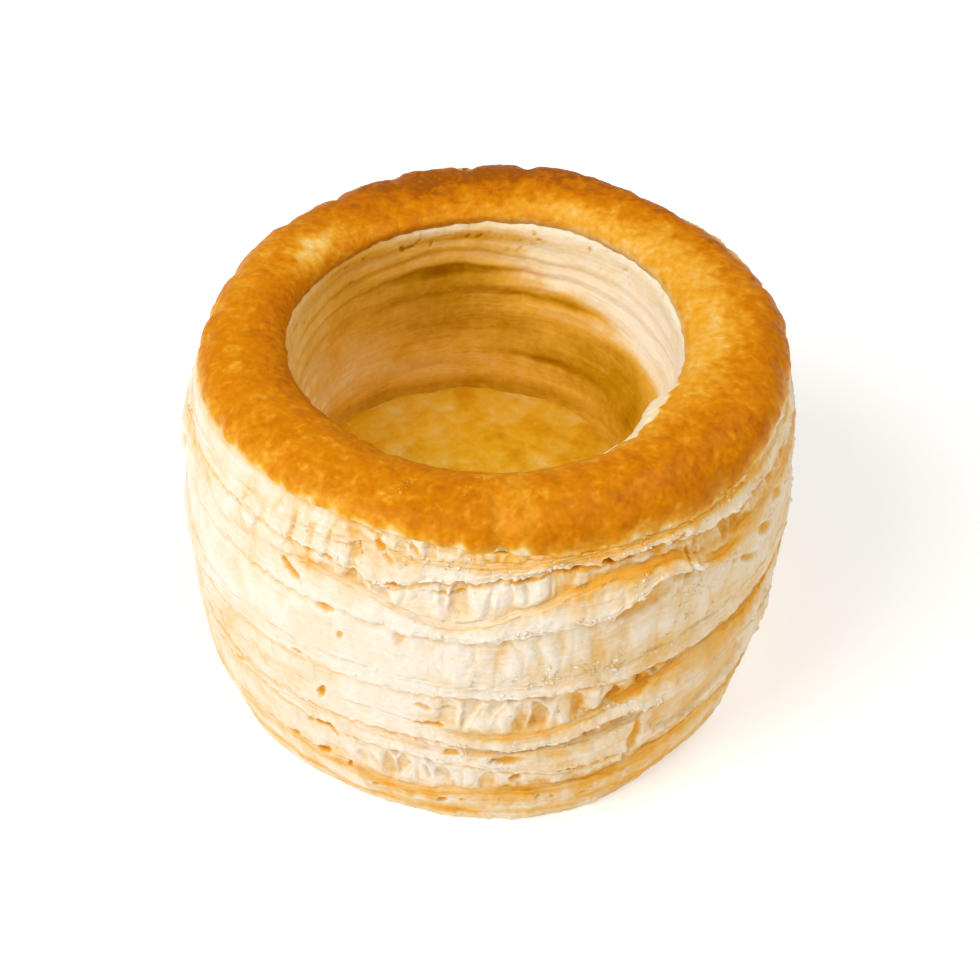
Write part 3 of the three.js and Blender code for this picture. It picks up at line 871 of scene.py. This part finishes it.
# the paler patches at bearings 95 and 100 are painted light on the inner side that faces the light, and the
# browner one at -85 is painted shade on the inner side turned from it
CRUST_TINTS = [  # bearing, radius, spread in degrees, spread in mm, how much browner
    (155, 36, 50, 4, 0.22), (166, 33, 24, 3, 0.08), (95, 27.2, 42, 2, -0.26), (-85, 27.5, 30, 1.6, 0.1),
    (-126, 28.6, 7, 1.4, -0.36), (-119, 28, 5, 1.1, -0.25), (160, 26.3, 20, 1.2, -0.18),
    (-165, 31, 16, 3, 0.12), (-60, 34, 40, 3, -0.02), (100, 31, 30, 3, -0.1), (35, 33, 20, 5, 0.06),
    (-9, 34, 5, 3, 0.06), (-112, 34, 14, 3, -0.1), (4, 34.5, 4, 3, -0.12),
]
fleck = smooth(0.3, 0.8, rough(points, 1.3, 430, 2))
browning = CRUST_BROWNING + 0.07 * blister + 0.05 * folds * to_edge - 0.1 * fleck - 0.17 * wisps
above_edge = height - seams["crust_edge"] + 0.9 * rough(points, (2.6, 2.6, 5), 420, 4) * to_edge
edge_fade = 0.2 * smooth(2.4, 0.3, above_edge) + 0.4 * smooth(0.8, -0.3, above_edge)
browning = browning - edge_fade * smooth(CREST_RADIUS, CREST_RADIUS + 3, radius)
lip = radius.min(axis=0)
inner = smooth(lip + 2.6, lip + 0.3, radius)
torn_lip = 0.4 * rough(points, 2.2, 440, 3)
# the lip is paler all round where the cutter bared the crumb, and much paler round bearing 110 as painted
# light on the inner side that faces the light
paler = 0.2 + 0.8 * hump(BEARINGS, 110, 45)
low = smooth(LIP_LEVEL + 0.9, LIP_LEVEL - 0.4, height + torn_lip)
browning = browning - paler * (0.14 * inner + 0.4 * low * inner)
for centre, where, spread, reach, more in CRUST_TINTS:
    near = np.exp(-0.5 * ((radius + 1.2 * blister - where) / reach) ** 2)
    browning = browning + more * hump(BEARINGS + 2 * blister, centre, spread) * near
browning = np.maximum(browning, LEAST_GOLD * smooth(CREST_RADIUS + 2, CREST_RADIUS, radius))
bare = 0 * radius
for centre, spread, reach in PALE_LIPS:
    tip = mix(lip - 0.8, reach, hump(BEARINGS + 3 * torn_lip, centre, spread))
    bare = np.maximum(bare, smooth(tip + 0.3, tip - 0.2, radius + torn_lip))
browning = mix(browning, BARE_BROWNING + 0.06 * blister, bare)
relief = relief - BARE_DEPTH * bare
print(f"the crust's browning runs from {browning.min():.2f} to {browning.max():.2f}")

# %% Make the crown
HIDDEN_ROWS = 3       # on each side of the section, under the crust and behind the lip
surface = around(BEARINGS, radius + side * relief, height + up * relief)
ring_solid("crown", surface, browning, height, crust_finish)
skins.append(surface[HIDDEN_ROWS:-HIDDEN_ROWS])
tones.append(browning[HIDDEN_ROWS:-HIDDEN_ROWS])
rims.append(np.zeros(skins[-1].shape[:2]))

# %% [markdown]
# ## The well
# When the middle was pressed down it tore the layers, so the well's wall shows them edge on, as
# ledges and fine lines which run level and fade in and out. The wall is one more ring whose
# section runs down from the lip. A level wobble is given to the pattern before it is read, so
# the lines wander as real layers do.

# %% Sizes and tones of the well
WELL_TOP_RADIUS, WELL_FLOOR_RADIUS = 25.0, 22.6
WELL_FLOOR_LEVEL = 21.0
WELL_FLOOR_SHIFT = (-3.4, 1.0)
WELL_ROWS, WELL_COLUMNS = 92, 1000
WELL_BACK = 3.6       # thickness of the ring behind the wall's top
TUCKED_UNDER = 0.7    # how far the wall's top hides under the lip
WELL_LEDGES = [  # height, and how far the wall stands in there
    (50, 0), (48.2, 0.15), (46.5, 0), (44.9, 0.15), (44.4, -0.15), (42.6, 0.15), (41.8, -0.3),
    (39.8, 0.1), (38.2, -0.2), (36, 0), (33, -0.1), (30, 0.05), (27, 0.15), (25.5, 0), (23, 0.2), (20, 0.7),
]
WELL_TONES = {  # by bearing: how brown the wall is at each height
    0: [(50, 0.3), (44, 0.4), (34, 0.45), (22, 0.5)],
    70: [(50, 0.04), (44, 0.04), (38, 0.12), (34, 0.4), (22, 0.6)],
    120: [(50, 0.02), (47, 0.08), (44, 0), (40, 0.02), (38.4, 0.1), (36.6, 0.26), (35.2, 0.6),
          (31, 0.72), (28, 0.78), (25, 0.68), (22, 0.6)],
    152: [(50, 0.02), (47.5, 0.16), (46, 0.1), (43.5, 0.08), (41.5, 0.04), (39.8, 0.26), (38.4, 0.82),
          (37.4, 0.44), (36, 0.36), (34.5, 0.56), (32, 0.64), (29, 0.66), (28, 0.9), (27, 0.58),
          (24.5, 0.5), (23, 0.66)],
    190: [(50, 0.06), (48.4, 0.2), (47.2, 0.6), (46.2, 0.36), (45.4, 0.52), (44.2, 0.42), (43.2, 0.55),
          (42.6, 0.84), (41.6, 0.92), (41, 0.66), (39.6, 0.72), (38, 0.7), (33, 0.66), (30, 0.54),
          (27, 0.42), (24.5, 0.45), (23, 0.66)],
    226: [(50, 0.3), (48.3, 0.55), (46.8, 0.42), (45, 0.54), (43, 0.5), (40, 0.56), (37, 0.48), (33, 0.4),
          (28, 0.32), (26, 0.42), (24, 0.6)],
    262: [(50, 0.3), (46, 0.4), (40, 0.38), (32, 0.26), (26, 0.28), (22, 0.45)],
    300: [(50, 0.3), (46, 0.36), (40, 0.3), (32, 0.26), (22, 0.4)],
}


def by_level(table, z):
    """Reads a table of (height, value) at each height."""
    levels, values = np.array(sorted(table)).T
    return np.interp(z, levels, values)


def by_bearing(tables, bearing, z):
    """Reads the tables on both sides of a bearing and blends between them."""
    bearings = [*tables, 360]
    rings = [by_level(tables[b % 360], z) for b in bearings]
    total = 0 * z
    for (low, below), (high, above) in zip(zip(bearings, rings), zip(bearings[1:], rings[1:])):
        inside = (bearing >= low) & (bearing < high)
        total = total + inside * mix(below, above, smooth(low, high, bearing))
    return total


print(f"the well's floor lies {LIP_LEVEL - WELL_FLOOR_LEVEL:.1f} mm under the lip")

# %% Well wall
bearing = np.arange(WELL_COLUMNS) * 360 / WELL_COLUMNS
down = np.linspace(0, 1, WELL_ROWS)[:, None]
z = mix(LIP_LEVEL + 0.3, WELL_FLOOR_LEVEL - 0.8, down) + 0 * bearing
plain = around(bearing, WELL_TOP_RADIUS, z)
level = z + 0.5 * noise(plain, (16, 16, 7), 501) + 0.3 * noise(plain, (4, 4, 3), 502)
layers = level + 1.2 * noise(plain, (20, 20, 9), 503)
patches = noise(plain, (7, 7, 2.2), 504)
ripple = noise(plain, (2.2, 2.2, 4), 505)
crisp = 0.25 + 0.75 * hump(bearing, 195, 42)
inward = crisp * by_level(WELL_LEDGES, layers) + 0.14 * patches + 0.12 * ripple
inward = inward + 0.05 * noise(plain, 0.7, 506)
at_top = smooth(0.35, 0, down) * sway(0, LIP_SHIFTS, bearing)
radius = mix(WELL_TOP_RADIUS, WELL_FLOOR_RADIUS, down) - inward + 0.3 * noise(plain, 12, 507) + at_top
radius = radius + TUCKED_UNDER * smooth(0.06, 0, down)
browning = by_bearing(WELL_TONES, bearing, level) + 0.06 * patches + 0.04 * ripple
spots = smooth(0.55, 0.8, rough(plain, (1.8, 1.8, 1.3), 510, 2)) * smooth(44, 46.5, z) * smooth(50, 48, z)
browning = browning + 0.25 * spots
radius = radius + 0.2 * spots
outside = WELL_TOP_RADIUS + WELL_BACK + 0 * bearing
radius = np.vstack([outside, outside - 1, radius, radius[-1] + 1.5, outside])
z = np.vstack([z[0] - 2, z[0] - 0.5, z, z[-1] - 0.2, z[-1] - 0.2])
browning, layers = (np.vstack([grid[0], grid[0], grid, grid[-1], grid[-1]]) for grid in (browning, layers))
sunk = np.clip((LIP_LEVEL - z) / (LIP_LEVEL - WELL_FLOOR_LEVEL), 0, 1)[..., None]
surface = around(bearing, radius, z) + sunk * (*WELL_FLOOR_SHIFT, 0)
ring_solid("well_wall", surface, browning, layers, well_finish)

# %% [markdown]
# ## Floor and underside, by Geometry Nodes
# The pressed-down lid and the underside are both thin round plates with a blistered face. One
# tree makes both from different sizes. A cylinder whose caps are filled with rings has points
# enough for noise to lift, and stays closed. The browning is stored from the same noise that
# raises the blisters, because a blister's top browns first.

# %% Tree builder
def new_tree(name, **inputs):
    """An empty tree with a geometry in and out, and named inputs: a default for each, or a material."""
    tree = bpy.data.node_groups.new(name, "GeometryNodeTree")
    tree.interface.new_socket("Geometry", in_out="INPUT", socket_type="NodeSocketGeometry")
    tree.interface.new_socket("Geometry", in_out="OUTPUT", socket_type="NodeSocketGeometry")
    kinds = {int: "NodeSocketInt", float: "NodeSocketFloat", tuple: "NodeSocketVector"}
    for label, default in inputs.items():
        kind = kinds.get(type(default), "NodeSocketMaterial")
        socket = tree.interface.new_socket(label, in_out="INPUT", socket_type=kind)
        if default is not None:
            socket.default_value = default
    return tree, tree.nodes.new("NodeGroupInput").outputs


def close_tree(tree, geometry, finish):
    """Every tree ends in the same way: real geometry instead of instances, and its material."""
    real = put(tree, "GeometryNodeRealizeInstances", {0: geometry}).outputs[0]
    coloured = put(tree, "GeometryNodeSetMaterial", {"Geometry": real, "Material": finish}).outputs[0]
    put(tree, "NodeGroupOutput", {0: coloured})
    return tree


def grown(name, tree, finish, base=None, **values):
    """Runs a tree on a mesh and keeps its result as a plain mesh."""
    seed_mesh = base or bpy.data.meshes.new(name)
    carrier = bpy.data.objects.new(name + "_carrier", seed_mesh)
    bpy.context.scene.collection.objects.link(carrier)
    modifier = carrier.modifiers.new("grow", "NODES")
    modifier.node_group = tree
    sockets = {item.name: item.identifier for item in tree.interface.items_tree if item.in_out == "INPUT"}
    for label, value in {**values, "Finish": finish}.items():
        modifier[sockets[label]] = value
    ready = carrier.evaluated_get(bpy.context.evaluated_depsgraph_get())
    mesh = bpy.data.meshes.new_from_object(ready)
    mesh.name = name
    if mesh.materials[0] is None:             # the empty slot that a node's own ball or cylinder has
        mesh.materials.pop(index=0)
    carrier.modifiers.remove(modifier)
    bpy.data.objects.remove(carrier)
    finished(mesh, name, finish)


def vector_math(tree, operation, a, b=(0, 0, 0)):
    node = put(tree, "ShaderNodeVectorMath", {0: a, 1: b}, operation=operation)
    return node.outputs["Value" if operation == "LENGTH" else "Vector"]


print(f"{len(triangles)} pieces so far, and {len(bpy.data.node_groups)} trees")

# %% Plate tree
def plate_tree():
    """Inputs: size and place of the plate, how far its middle swells, which face is worked (1 up, -1
    down), width and height of a blister, its browning and how far that varies, and how far the edge
    curls up."""
    tree, given = new_tree("blistered plate", Radius=0.02, Level=0.0, Thickness=0.002, Dome=0.001,
                           Face=1.0, Blister=0.003, Height=0.0004, Tone=0.5, Spread=0.3, Curl=0.0,
                           Shift=(0.0, 0.0, 0.0), Seed=0.0, Finish=None)
    plate = put(tree, "GeometryNodeMeshCylinder", {"Vertices": 300, "Side Segments": 3, "Fill Segments": 60,
                                                   "Radius": given["Radius"], "Depth": given["Thickness"]},
                fill_type="TRIANGLE_FAN")
    place = put(tree, "GeometryNodeInputPosition").outputs[0]
    split = put(tree, "ShaderNodeSeparateXYZ", {0: place}).outputs
    flat = put(tree, "ShaderNodeCombineXYZ", {0: split[0], 1: split[1]}).outputs[0]
    out = math_node(tree, "DIVIDE", vector_math(tree, "LENGTH", flat), given["Radius"])
    dome = math_node(tree, "MULTIPLY", given["Dome"],
                     math_node(tree, "SUBTRACT", 1.0, math_node(tree, "MULTIPLY", out, out)))
    scale = math_node(tree, "DIVIDE", 1.0, given["Blister"])
    big = put(tree, "ShaderNodeTexNoise", {"Vector": place, "W": given["Seed"], "Scale": scale,
                                           "Detail": 4.0}, noise_dimensions="4D").outputs[0]
    swell = math_node(tree, "MULTIPLY", math_node(tree, "SUBTRACT", big, 0.5), given["Height"])
    lift = math_node(tree, "MULTIPLY", math_node(tree, "ADD", dome, swell), given["Face"])
    facing = math_node(tree, "GREATER_THAN", math_node(tree, "MULTIPLY", split[2], given["Face"]), 0.0)
    fade = put(tree, "ShaderNodeMapRange", {0: out, 1: 1.0, 2: 0.93, 3: 0.0, 4: 1.0}).outputs[0]
    lift = math_node(tree, "MULTIPLY", math_node(tree, "MULTIPLY", lift, facing), fade)
    curl = put(tree, "ShaderNodeMapRange", {0: out, 1: 0.78, 2: 0.96, 3: 0.0, 4: given["Curl"]},
               interpolation_type="SMOOTHSTEP").outputs[0]
    lift = math_node(tree, "ADD", lift, math_node(tree, "MULTIPLY", curl, facing))
    offset = put(tree, "ShaderNodeCombineXYZ", {2: math_node(tree, "ADD", lift, given["Level"])}).outputs[0]
    offset = vector_math(tree, "ADD", offset, given["Shift"])
    tone = math_node(tree, "ADD", given["Tone"],
                     math_node(tree, "MULTIPLY", math_node(tree, "SUBTRACT", big, 0.5), given["Spread"]))
    stored = put(tree, "GeometryNodeStoreNamedAttribute",
                 {"Geometry": plate.outputs["Mesh"], "Name": BROWNING, "Value": tone}, data_type="FLOAT")
    moved = put(tree, "GeometryNodeSetPosition", {"Geometry": stored.outputs[0], "Offset": offset}).outputs[0]
    return close_tree(tree, moved, given["Finish"])


PLATES = plate_tree()
print(f"{PLATES.name}: {len(PLATES.nodes)} nodes")

# %% Make the floor and the underside
middle = np.array([MIDDLE.x, MIDDLE.y, 0])
floor_shift = middle + np.array([*WELL_FLOOR_SHIFT, 0]) * MM
grown("well_floor", PLATES, floor_finish, Radius=23.6 * MM, Level=(WELL_FLOOR_LEVEL - 1) * MM,
      Thickness=2 * MM, Dome=1.2 * MM, Face=1.0, Blister=3.2 * MM, Height=2.0 * MM, Tone=0.47,
      Spread=1.5, Curl=0.5 * MM, Shift=tuple(floor_shift), Seed=3.0)
grown("underside", PLATES, crust_finish, Radius=32.5 * MM, Level=1.03 * MM, Thickness=2 * MM,
      Dome=-0.3 * MM, Face=-1.0, Blister=4 * MM, Height=0.3 * MM, Tone=0.45, Spread=0.8,
      Shift=tuple(middle), Seed=8.0)

# %% [markdown]
# ## Crumbs and shreds
# Puff pastry sheds. Crumbs too small to be leaves lie on the crumbly leaf at the front right, in the
# tear beside it and under the crust, and thin torn shreds stick to the rims. A second tree strews them:
# it takes the skin of the case with a weight on each point, scatters points where the weight is high,
# sets a small ball on each, squashed to a crumb or a shred and turned flat on the skin, and dents it.
# A bit is a little paler or browner than the skin where it lies. Light that sank into such a small
# bit would be lost in the wall behind it, so their finish lets none in.

# %% Scatter tree
WEIGHT = "weight"


def drawn(tree, low, high, seed):
    """A number drawn for each point."""
    return put(tree, "FunctionNodeRandomValue", {2: low, 3: high, "Seed": seed}, data_type="FLOAT").outputs[1]


def scatter_tree():
    """Inputs: bits per square metre where the weight is 1, size of a bit, how far it is dented, and how
    much paler or browner than the skin it may be."""
    tree, given = new_tree("strewn bits", Density=1e6, Length=0.0006, Width=0.0004, Thickness=0.0003,
                           Dent=0.0002, Paler=-0.1, Browner=0.1, Seed=0, Finish=None)
    weight = put(tree, "GeometryNodeInputNamedAttribute", {"Name": WEIGHT}, data_type="FLOAT").outputs[0]
    strewn = put(tree, "GeometryNodeDistributePointsOnFaces",
                 {"Mesh": given[0], "Density": math_node(tree, "MULTIPLY", weight, given["Density"]),
                  "Seed": given["Seed"]}, distribute_method="RANDOM").outputs
    below = put(tree, "GeometryNodeInputNamedAttribute", {"Name": BROWNING}, data_type="FLOAT").outputs[0]
    tone = math_node(tree, "ADD", below, drawn(tree, given["Paler"], given["Browner"], 1), clamp=True)
    toned = put(tree, "GeometryNodeStoreNamedAttribute", {"Geometry": strewn["Points"], "Name": BROWNING,
                                                          "Value": tone}, data_type="FLOAT").outputs[0]
    spin = put(tree, "FunctionNodeAxisAngleToRotation",
               {"Axis": (0, 0, 1), "Angle": drawn(tree, 0.0, math.tau, 2)}).outputs[0]
    tip = put(tree, "FunctionNodeAxisAngleToRotation",
              {"Axis": (1, 0, 0), "Angle": drawn(tree, -0.6, 0.6, 3)}).outputs[0]
    turned = put(tree, "FunctionNodeRotateRotation", {0: strewn["Rotation"], 1: spin}, rotation_space="LOCAL")
    turned = put(tree, "FunctionNodeRotateRotation", {0: turned.outputs[0], 1: tip}, rotation_space="LOCAL")
    shape = put(tree, "ShaderNodeCombineXYZ",
                {0: given["Length"], 1: given["Width"], 2: given["Thickness"]}).outputs[0]
    size = drawn(tree, 0.4, 1.4, 4)
    evenly = put(tree, "ShaderNodeCombineXYZ", {0: size, 1: size, 2: size}).outputs[0]
    scaled = vector_math(tree, "MULTIPLY", shape, evenly)
    ball = put(tree, "GeometryNodeMeshIcoSphere", {"Radius": 0.5, "Subdivisions": 1}).outputs[0]
    placed = put(tree, "GeometryNodeInstanceOnPoints", {"Points": toned, "Instance": ball, "Scale": scaled,
                                                        "Rotation": turned.outputs[0]}).outputs[0]
    real = put(tree, "GeometryNodeRealizeInstances", {0: placed}).outputs[0]
    cloud = put(tree, "ShaderNodeTexNoise", {"Scale": 3500.0, "Detail": 1.0}).outputs["Color"]
    push = vector_math(tree, "SUBTRACT", cloud, (0.5, 0.5, 0.5))
    dent = put(tree, "ShaderNodeCombineXYZ", {axis: given["Dent"] for axis in range(3)}).outputs[0]
    offset = vector_math(tree, "MULTIPLY", push, dent)
    dented = put(tree, "GeometryNodeSetPosition", {"Geometry": real, "Offset": offset}).outputs[0]
    return close_tree(tree, dented, given["Finish"])


SCATTER = scatter_tree()
print(f"{SCATTER.name}: {len(SCATTER.nodes)} nodes")

# %% Where the bits lie
CRUMB_SPOTS = [  # bearing, height, spread in degrees, spread in mm, how many
    (18, 29.2, 10, 1.2, 1.0), (36.8, 41.0, 1.0, 2.4, 1.0), (38, 36.0, 3, 3.0, 0.3), (24, 46.6, 18, 0.6, 0.7),
    (23, 42.8, 8, 0.6, 0.3), (-4, 15.4, 4, 1.0, 0.2), (8, 17.4, 10, 0.6, 0.4), (-12, 26.0, 9, 1.0, 0.1),
    (15, 22.0, 9, 0.7, 0.4), (-20, 47.4, 8, 1.2, 0.2), (28, 20.0, 4, 1.2, 0.4), (12, 4.5, 14, 1.6, 0.1),
    (140, 30, 30, 2.0, 0.4), (210, 18, 25, 1.5, 0.3), (250, 41, 20, 1.2, 0.3),
]
CREST_SPOTS = [  # the same on the crown, with a radius in place of the height
    (-19, 32, 1.0, 1.6, 0.25), (-3, 31, 1.8, 1.4, 0.2), (22, 30, 1.6, 1.0, 0.2), (-7, 28.6, 6, 0.5, 0.3),
]
SHREDS = 0.35         # how many shreds lie where crumbs do, against 1 on the rims
LEAST_WEIGHT = 0.02   # below it nothing lies


def spots_weight(spots, skin, across):
    """How many bits lie at each point of a skin. across is its height, or its radius on the crown."""
    clumps = smooth(-0.1, 0.6, noise(skin, 2.4, 620))
    total = sum(much * hump(BEARINGS, bearing, spread) * np.exp(-0.5 * ((across - level) / reach) ** 2)
                for bearing, level, spread, reach, much in spots)
    return clumps * np.where(total > LEAST_WEIGHT, total, 0)


def strewing_skin():
    """The skins as one open mesh, and the weight of the crumbs and of the shreds on it."""
    vertices, faces, crumbs, shreds, start = [], [], [], [], 0
    for skin, on_rim in zip(skins, rims):
        faces.append(start + quads(*skin.shape[:2], closed=False))
        on_crown = skin is skins[-1]
        across = np.hypot(skin[..., 0], skin[..., 1]) if on_crown else skin[..., 2]
        weight = spots_weight(CREST_SPOTS if on_crown else CRUMB_SPOTS, skin, across)
        crumbs.append(weight.ravel())
        shreds.append((SHREDS * weight + on_rim * smooth(-0.2, 0.5, noise(skin, 3, 621))).ravel())
        vertices.append(standing(skin).reshape(-1, 3))
        start += on_rim.size
    mesh = bpy.data.meshes.new("skin")
    mesh.from_pydata(np.concatenate(vertices), [], np.concatenate(faces))
    store(mesh, WEIGHT, np.concatenate(crumbs))
    store(mesh, BROWNING, np.concatenate([tone.ravel() for tone in tones]))
    return mesh, np.concatenate(crumbs), np.concatenate(shreds)


print(f"crumbs lie in {len(CRUMB_SPOTS) + len(CREST_SPOTS)} places")

# %% Strew the crumbs and the shreds
bits_finish = dough("crumbs and shreds", CRUMB_STOPS, (5, 0.08), (0.8, 0.10), (0.45, 0.06), 0.7, 0.0, 0.05)
skin, crumbs, shreds = strewing_skin()
grown("crumbs", SCATTER, bits_finish, skin, Density=1e7, Length=0.55 * MM, Width=0.45 * MM,
      Thickness=0.18 * MM, Dent=0.16 * MM, Paler=-0.22, Browner=0.14, Seed=5)
store(skin, WEIGHT, shreds)
grown("shreds", SCATTER, bits_finish, skin, Density=2.2e6, Length=0.8 * MM, Width=0.45 * MM,
      Thickness=0.13 * MM, Dent=0.2 * MM, Paler=-0.12, Browner=0.04, Seed=9)
print(f"{len(triangles)} pieces with {sum(triangles.values())} triangles")

# %% [markdown]
# ## Floor, light and camera
# The case stands on a plain white floor under a wide soft light from the upper left, with white
# all round it, so that its shadows are faint. The camera looks down from the front.

# %% Floor and room
FLOOR_SIZE = 3.0                                 # metres
PAPER = {"Base Color": (0.8, 0.8, 0.8, 1), "Roughness": 0.9, "Emission Color": (1, 1, 1, 1),
         "Emission Strength": 0.32}
ROOM_COLOUR = (1.0, 0.97, 0.93, 1)
ROOM_LEFT, ROOM_RIGHT = 0.36, 0.18               # how bright the room is on either side
half = FLOOR_SIZE / 2
floor_mesh = bpy.data.meshes.new("floor")
floor_mesh.from_pydata([(x, y, 0) for x, y in ((-half, -half), (half, -half), (half, half), (-half, half))],
                       [], [(0, 1, 2, 3)])
floor = bpy.data.objects.new("floor", floor_mesh)
bpy.context.scene.collection.objects.link(floor)
paper = bpy.data.materials.new("white paper")
paper.use_nodes = True
for label, value in PAPER.items():
    paper.node_tree.nodes["Principled BSDF"].inputs[label].default_value = value
floor_mesh.materials.append(paper)
floor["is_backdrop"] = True

world = bpy.data.worlds.new("white room")
world.use_nodes = True
room = world.node_tree
room.nodes["Background"].inputs["Color"].default_value = ROOM_COLOUR
sky = put(room, "ShaderNodeTexCoord").outputs["Generated"]
from_left = put(room, "ShaderNodeSeparateXYZ", {0: sky}).outputs[0]
dimmer = put(room, "ShaderNodeMapRange", {0: from_left, 1: -0.6, 2: 0.9, 3: ROOM_LEFT, 4: ROOM_RIGHT})
room.links.new(dimmer.outputs[0], room.nodes["Background"].inputs["Strength"])
bpy.context.scene.world = world
print(f"a white floor of {FLOOR_SIZE} m, and a room that is {ROOM_LEFT} bright on the left")

# %% Lights
LIGHTS = {  # bearing and elevation, distance and size in metres, watts, colour
    "window": ((-58, 48), 0.7, 0.5, 3.5, (1.0, 0.98, 0.95)),
    "fill": ((35, 50), 0.8, 0.6, 1.3, (1.0, 0.97, 0.92)),
    "ceiling": ((100, 65), 0.8, 0.5, 1.8, (1.0, 0.98, 0.95)),
}


def soft_light(name, direction, distance, size, watts, colour):
    """A round lamp that looks at the case from a bearing and an elevation."""
    light = bpy.data.lights.new(name, "AREA")
    light.shape, light.size, light.energy, light.color = "DISK", size, watts, colour
    lamp = bpy.data.objects.new(name, light)
    bpy.context.scene.collection.objects.link(lamp)
    azimuth, elevation = map(math.radians, direction)
    level = math.cos(elevation)
    place = (math.sin(azimuth) * level, -math.cos(azimuth) * level, math.sin(elevation))
    lamp.location = [distance * value for value in place]
    lamp.rotation_euler = (math.radians(90) - elevation, 0, azimuth)


for name, values in LIGHTS.items():
    soft_light(name, *values)
print("lights:", ", ".join(LIGHTS))

# %% Camera
CAMERA_ELEVATION = math.radians(43.2)
CAMERA_DISTANCE = 297                            # mm
LENS = 81                                        # focal length in mm
AIM = (-0.15, 0.0, 23.35)                        # what it looks at, in mm from the middle of the foot
camera = bpy.data.objects.new("camera", bpy.data.cameras.new("camera"))
bpy.context.scene.collection.objects.link(camera)
camera.data.lens, camera.data.clip_start = LENS, 0.01
aim = middle + np.array(AIM) * MM
back = np.array([0, -math.cos(CAMERA_ELEVATION), math.sin(CAMERA_ELEVATION)])
camera.location = aim + back * CAMERA_DISTANCE * MM
camera.rotation_euler = (math.radians(90) - CAMERA_ELEVATION, 0, 0)
bpy.context.scene.camera = camera
bpy.context.scene.view_settings.view_transform = "Standard"
print(f"camera {CAMERA_DISTANCE} mm away with a {LENS} mm lens")

# %% Sizes and finish
visual_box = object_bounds()
width, depth, height = ((high - low) / MM for low, high in zip(*visual_box))
print(f"the finished case is {width:.1f} by {depth:.1f} by {height:.1f} mm")
